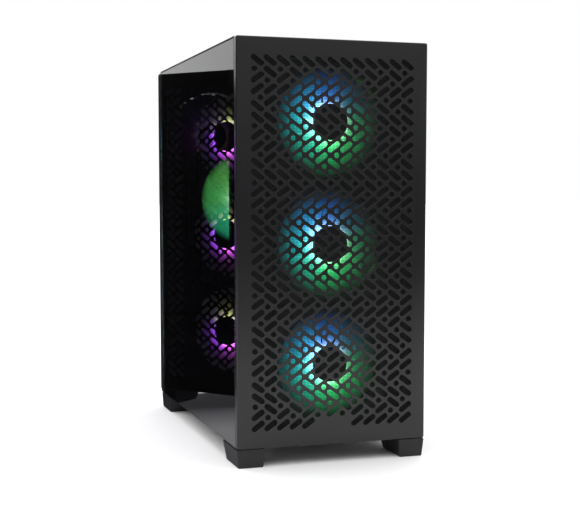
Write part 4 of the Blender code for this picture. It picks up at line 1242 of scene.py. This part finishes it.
def disk_lid():
    """The pressed lid over the platters, with its six screws."""
    low, high, _, middle = measured("hard_disk")
    top = high[2] + 0.75 * MM
    lid = block((low[0] + 3 * MM, low[1] + 3 * MM, high[2] + 0.05 * MM),
                (high[0] - 3 * MM, high[1] - 3 * MM, top))
    screw = np.array([(0.3, 0), (2.6, 0), (2.4, 0.8), (1.0, 0.9), (0.9, 0.3), (0.2, 0.3)]) * MM
    screws = [turned(screw, 14, "Z", (x, y, top)) for x in (low[0] + 7 * MM, high[0] - 7 * MM)
              for y in (low[1] + 8 * MM, middle[1], high[1] - 8 * MM)]
    make_piece("disk_lid", *several([lid] + screws), bright_metal, "chassis", "port_metal")


disk_lid()

# ---------------------------------------------------------------------------------------------
# Top controls: a power and a reset button, dished and chamfered, and a black port block.

refinish(black_plastic, "top_ports")


def push_button(node, body):
    """A button turned from a profile: straight shank, chamfered rim, and a dish for the finger."""
    low, _, size, middle = measured(node)
    radius, top = size[0] / 2, size[2]
    profile = [(0.3 * MM, 0), (radius, 0), (radius, top - 0.6 * MM), (radius - 0.6 * MM, top),
               (radius * 0.78, top), (radius * 0.6, top - 0.45 * MM), (radius * 0.3, top - 0.62 * MM),
               (0.2 * MM, top - 0.68 * MM)]
    make_piece(node + "_cap", *turned(profile, 48, "Z", (middle[0], middle[1], low[2])), black_plastic, body,
               "black_plastic", stands_for=[node])


push_button("power_button", "power_key")
push_button("reset_button", "reset_key")

# ---------------------------------------------------------------------------------------------
# Cables: bundles of wires in woven black sleeves, clipped behind the board tray, and a latched
# plug on the board.


def woven_sleeve(name):
    """A braided sleeve: two crossed waves raise the strands, with a painted highlight on their crests and
    painted shade between.
    """
    material, tree, shader = new_material(name)
    settle(shader, Roughness=0.7)
    place = add_node(tree, "TexCoord")
    # Painted highlight and shade: the colour follows the strands' height, lighter on the crests, nearly
    # black in the hollows.
    tint = two_tone(tree, (0.004, 0.004, 0.004, 1.0), (0.035, 0.035, 0.037, 1.0))
    cross = add_node(tree, "Math")
    cross.operation = "MULTIPLY"
    bump = add_node(tree, "Bump", Distance=0.0004)
    for index, tilt in enumerate((0.8, -0.8)):
        turn = add_node(tree, "Mapping", Rotation=(tilt, tilt, 0.0))
        wave = add_node(tree, "TexWave", Scale=180.0)
        join(tree, (place, "Object", turn, "Vector"), (turn, "Vector", wave, "Vector"),
             (wave, "Fac", cross, index))
    join(tree, (cross, "Value", tint, "Factor"), (cross, "Value", bump, "Height"),
         (tint, "Result", shader, "Base Color"), (bump, "Normal", shader, "Normal"))
    return material


refinish(woven_sleeve("cable_weave"), "main_cable", "card_cable", "board_cable")
refinish(black_plastic, "main_plug")

# ---------------------------------------------------------------------------------------------
# A second tower of the same make stands turned at the left, seen only mirrored in the glass: its
# dark front with three violet rings. It dresses the set and isn't part of this one.

NEIGHBOUR_CORNER = (-106.0 * MM, 210.6 * MM)
NEIGHBOUR_TURN = math.radians(48.7)
MIRROR_RING = np.array([(0.33, 0.05, 0.90), (0.35, 0.30, 0.30), (0.45, 0.52, 0.12), (0.35, 0.30, 0.30),
                        (0.33, 0.05, 0.90), (0.36, 0.04, 0.92), (0.65, 0.07, 0.75), (0.38, 0.04, 0.90)])
MIRROR_LEVEL = np.array([0.9, 0.6, 0.5, 0.6, 0.9, 1.0, 1.0, 1.0])


unlit, _, unlit_shader = new_material("unlit")
settle(unlit_shader, Base_Color=(0.006, 0.006, 0.007, 1.0), Roughness=0.9, Specular_IOR_Level=0.1)


def seen_in_glass(source):
    """A copy of a piece, moved to the second tower, that only reflections and the glass see."""
    copy = bpy.data.objects.new("mirrored_" + source.name, source.data.copy())
    if "glow" not in copy.data.attributes:
        copy.data.materials.clear()
        copy.data.materials.append(unlit)
    low, *_ = measured("front_panel")
    c, s = math.cos(NEIGHBOUR_TURN), math.sin(NEIGHBOUR_TURN)
    x, y = low[0], -low[1]
    copy.location = (NEIGHBOUR_CORNER[0] + c * x - s * y, NEIGHBOUR_CORNER[1] + s * x + c * y, 0.0)
    copy.rotation_euler = (0.0, 0.0, NEIGHBOUR_TURN)
    hide_from(copy, "volume_scatter")
    bpy.context.scene.collection.objects.link(copy)
    return copy


def second_tower():
    """The mirrored front sheet, its feet, its three rotors and a closed black box behind them."""
    objects = bpy.data.objects
    for name in ("front_sheet", "foot_front_left", "foot_front_right"):
        seen_in_glass(objects[name] if name in objects else nodes[name])
    low, high, *_ = measured("front_panel")
    face, inside, end = low[1] + 2 * MM, low[1] + 60 * MM, -low[1]
    (left, right), (bottom, top) = (low[0], high[0]), (low[2], high[2])
    walls = {"back": [(left, inside, bottom), (right, inside, bottom), (right, inside, top),
                      (left, inside, top)]}
    for side, z in (("roof", top), ("floor", bottom)):
        walls[side] = [(left, face, z), (right, face, z), (right, end, z), (left, end, z)]
    for side, x in (("left", left), ("right", right)):
        walls[side] = [(x, face, bottom), (x, end, bottom), (x, end, top), (x, face, top)]
    for side, corners in walls.items():
        wall = stage_sheet("wall_" + side, corners, CLOTH_BLACK, 0.9)
        seen_in_glass(wall)
        bpy.data.objects.remove(wall)

    def violet(x, z):
        """The second tower's light, which fades faster: times exp(-(r - hub) / 8 mm)."""
        fading = np.exp(-(np.hypot(x, z) - HUB) / (8 * MM))[:, None]
        return glow_colour(x, z, MIRROR_RING, MIRROR_LEVEL, 5.0, white=0.2) * fading

    for number in (1, 2, 3):
        centre = measured(f"front_fan_{number}_frame")[3]
        for part in ("hub", "blades", "light_ring"):
            copy = seen_in_glass(objects[f"front_fan_{number}_{part}"])
            if part != "hub":
                set_glow(copy, centre, violet)


def shaded_floor():
    """The floor between the towers as the glass shows it: a painted shadow that deepens towards the back."""
    front, back, left, right, height = -0.19, 0.26, -0.34, -0.104, 0.0006
    card = stage_sheet("shaded_floor", [(right, front, height), (right, back, height), (left, back, height),
                                        (left, front, height)], (0.3, 0.3, 0.3), 0.9)
    tree = card.data.materials[0].node_tree
    place, split = add_node(tree, "TexCoord"), add_node(tree, "SeparateXYZ")
    # Painted shadow: light grey up to the middle, nearly black from 15 cm behind it.
    shade = add_node(tree, "MapRange", From_Min=0.0, From_Max=0.15, To_Min=0.44, To_Max=0.04)
    join(tree, (place, "Object", split, "Vector"), (split, "Y", shade, "Value"),
         (shade, "Result", tree.nodes["Principled BSDF"], "Base Color"))
    hide_from(card, "volume_scatter")


second_tower()
shaded_floor()
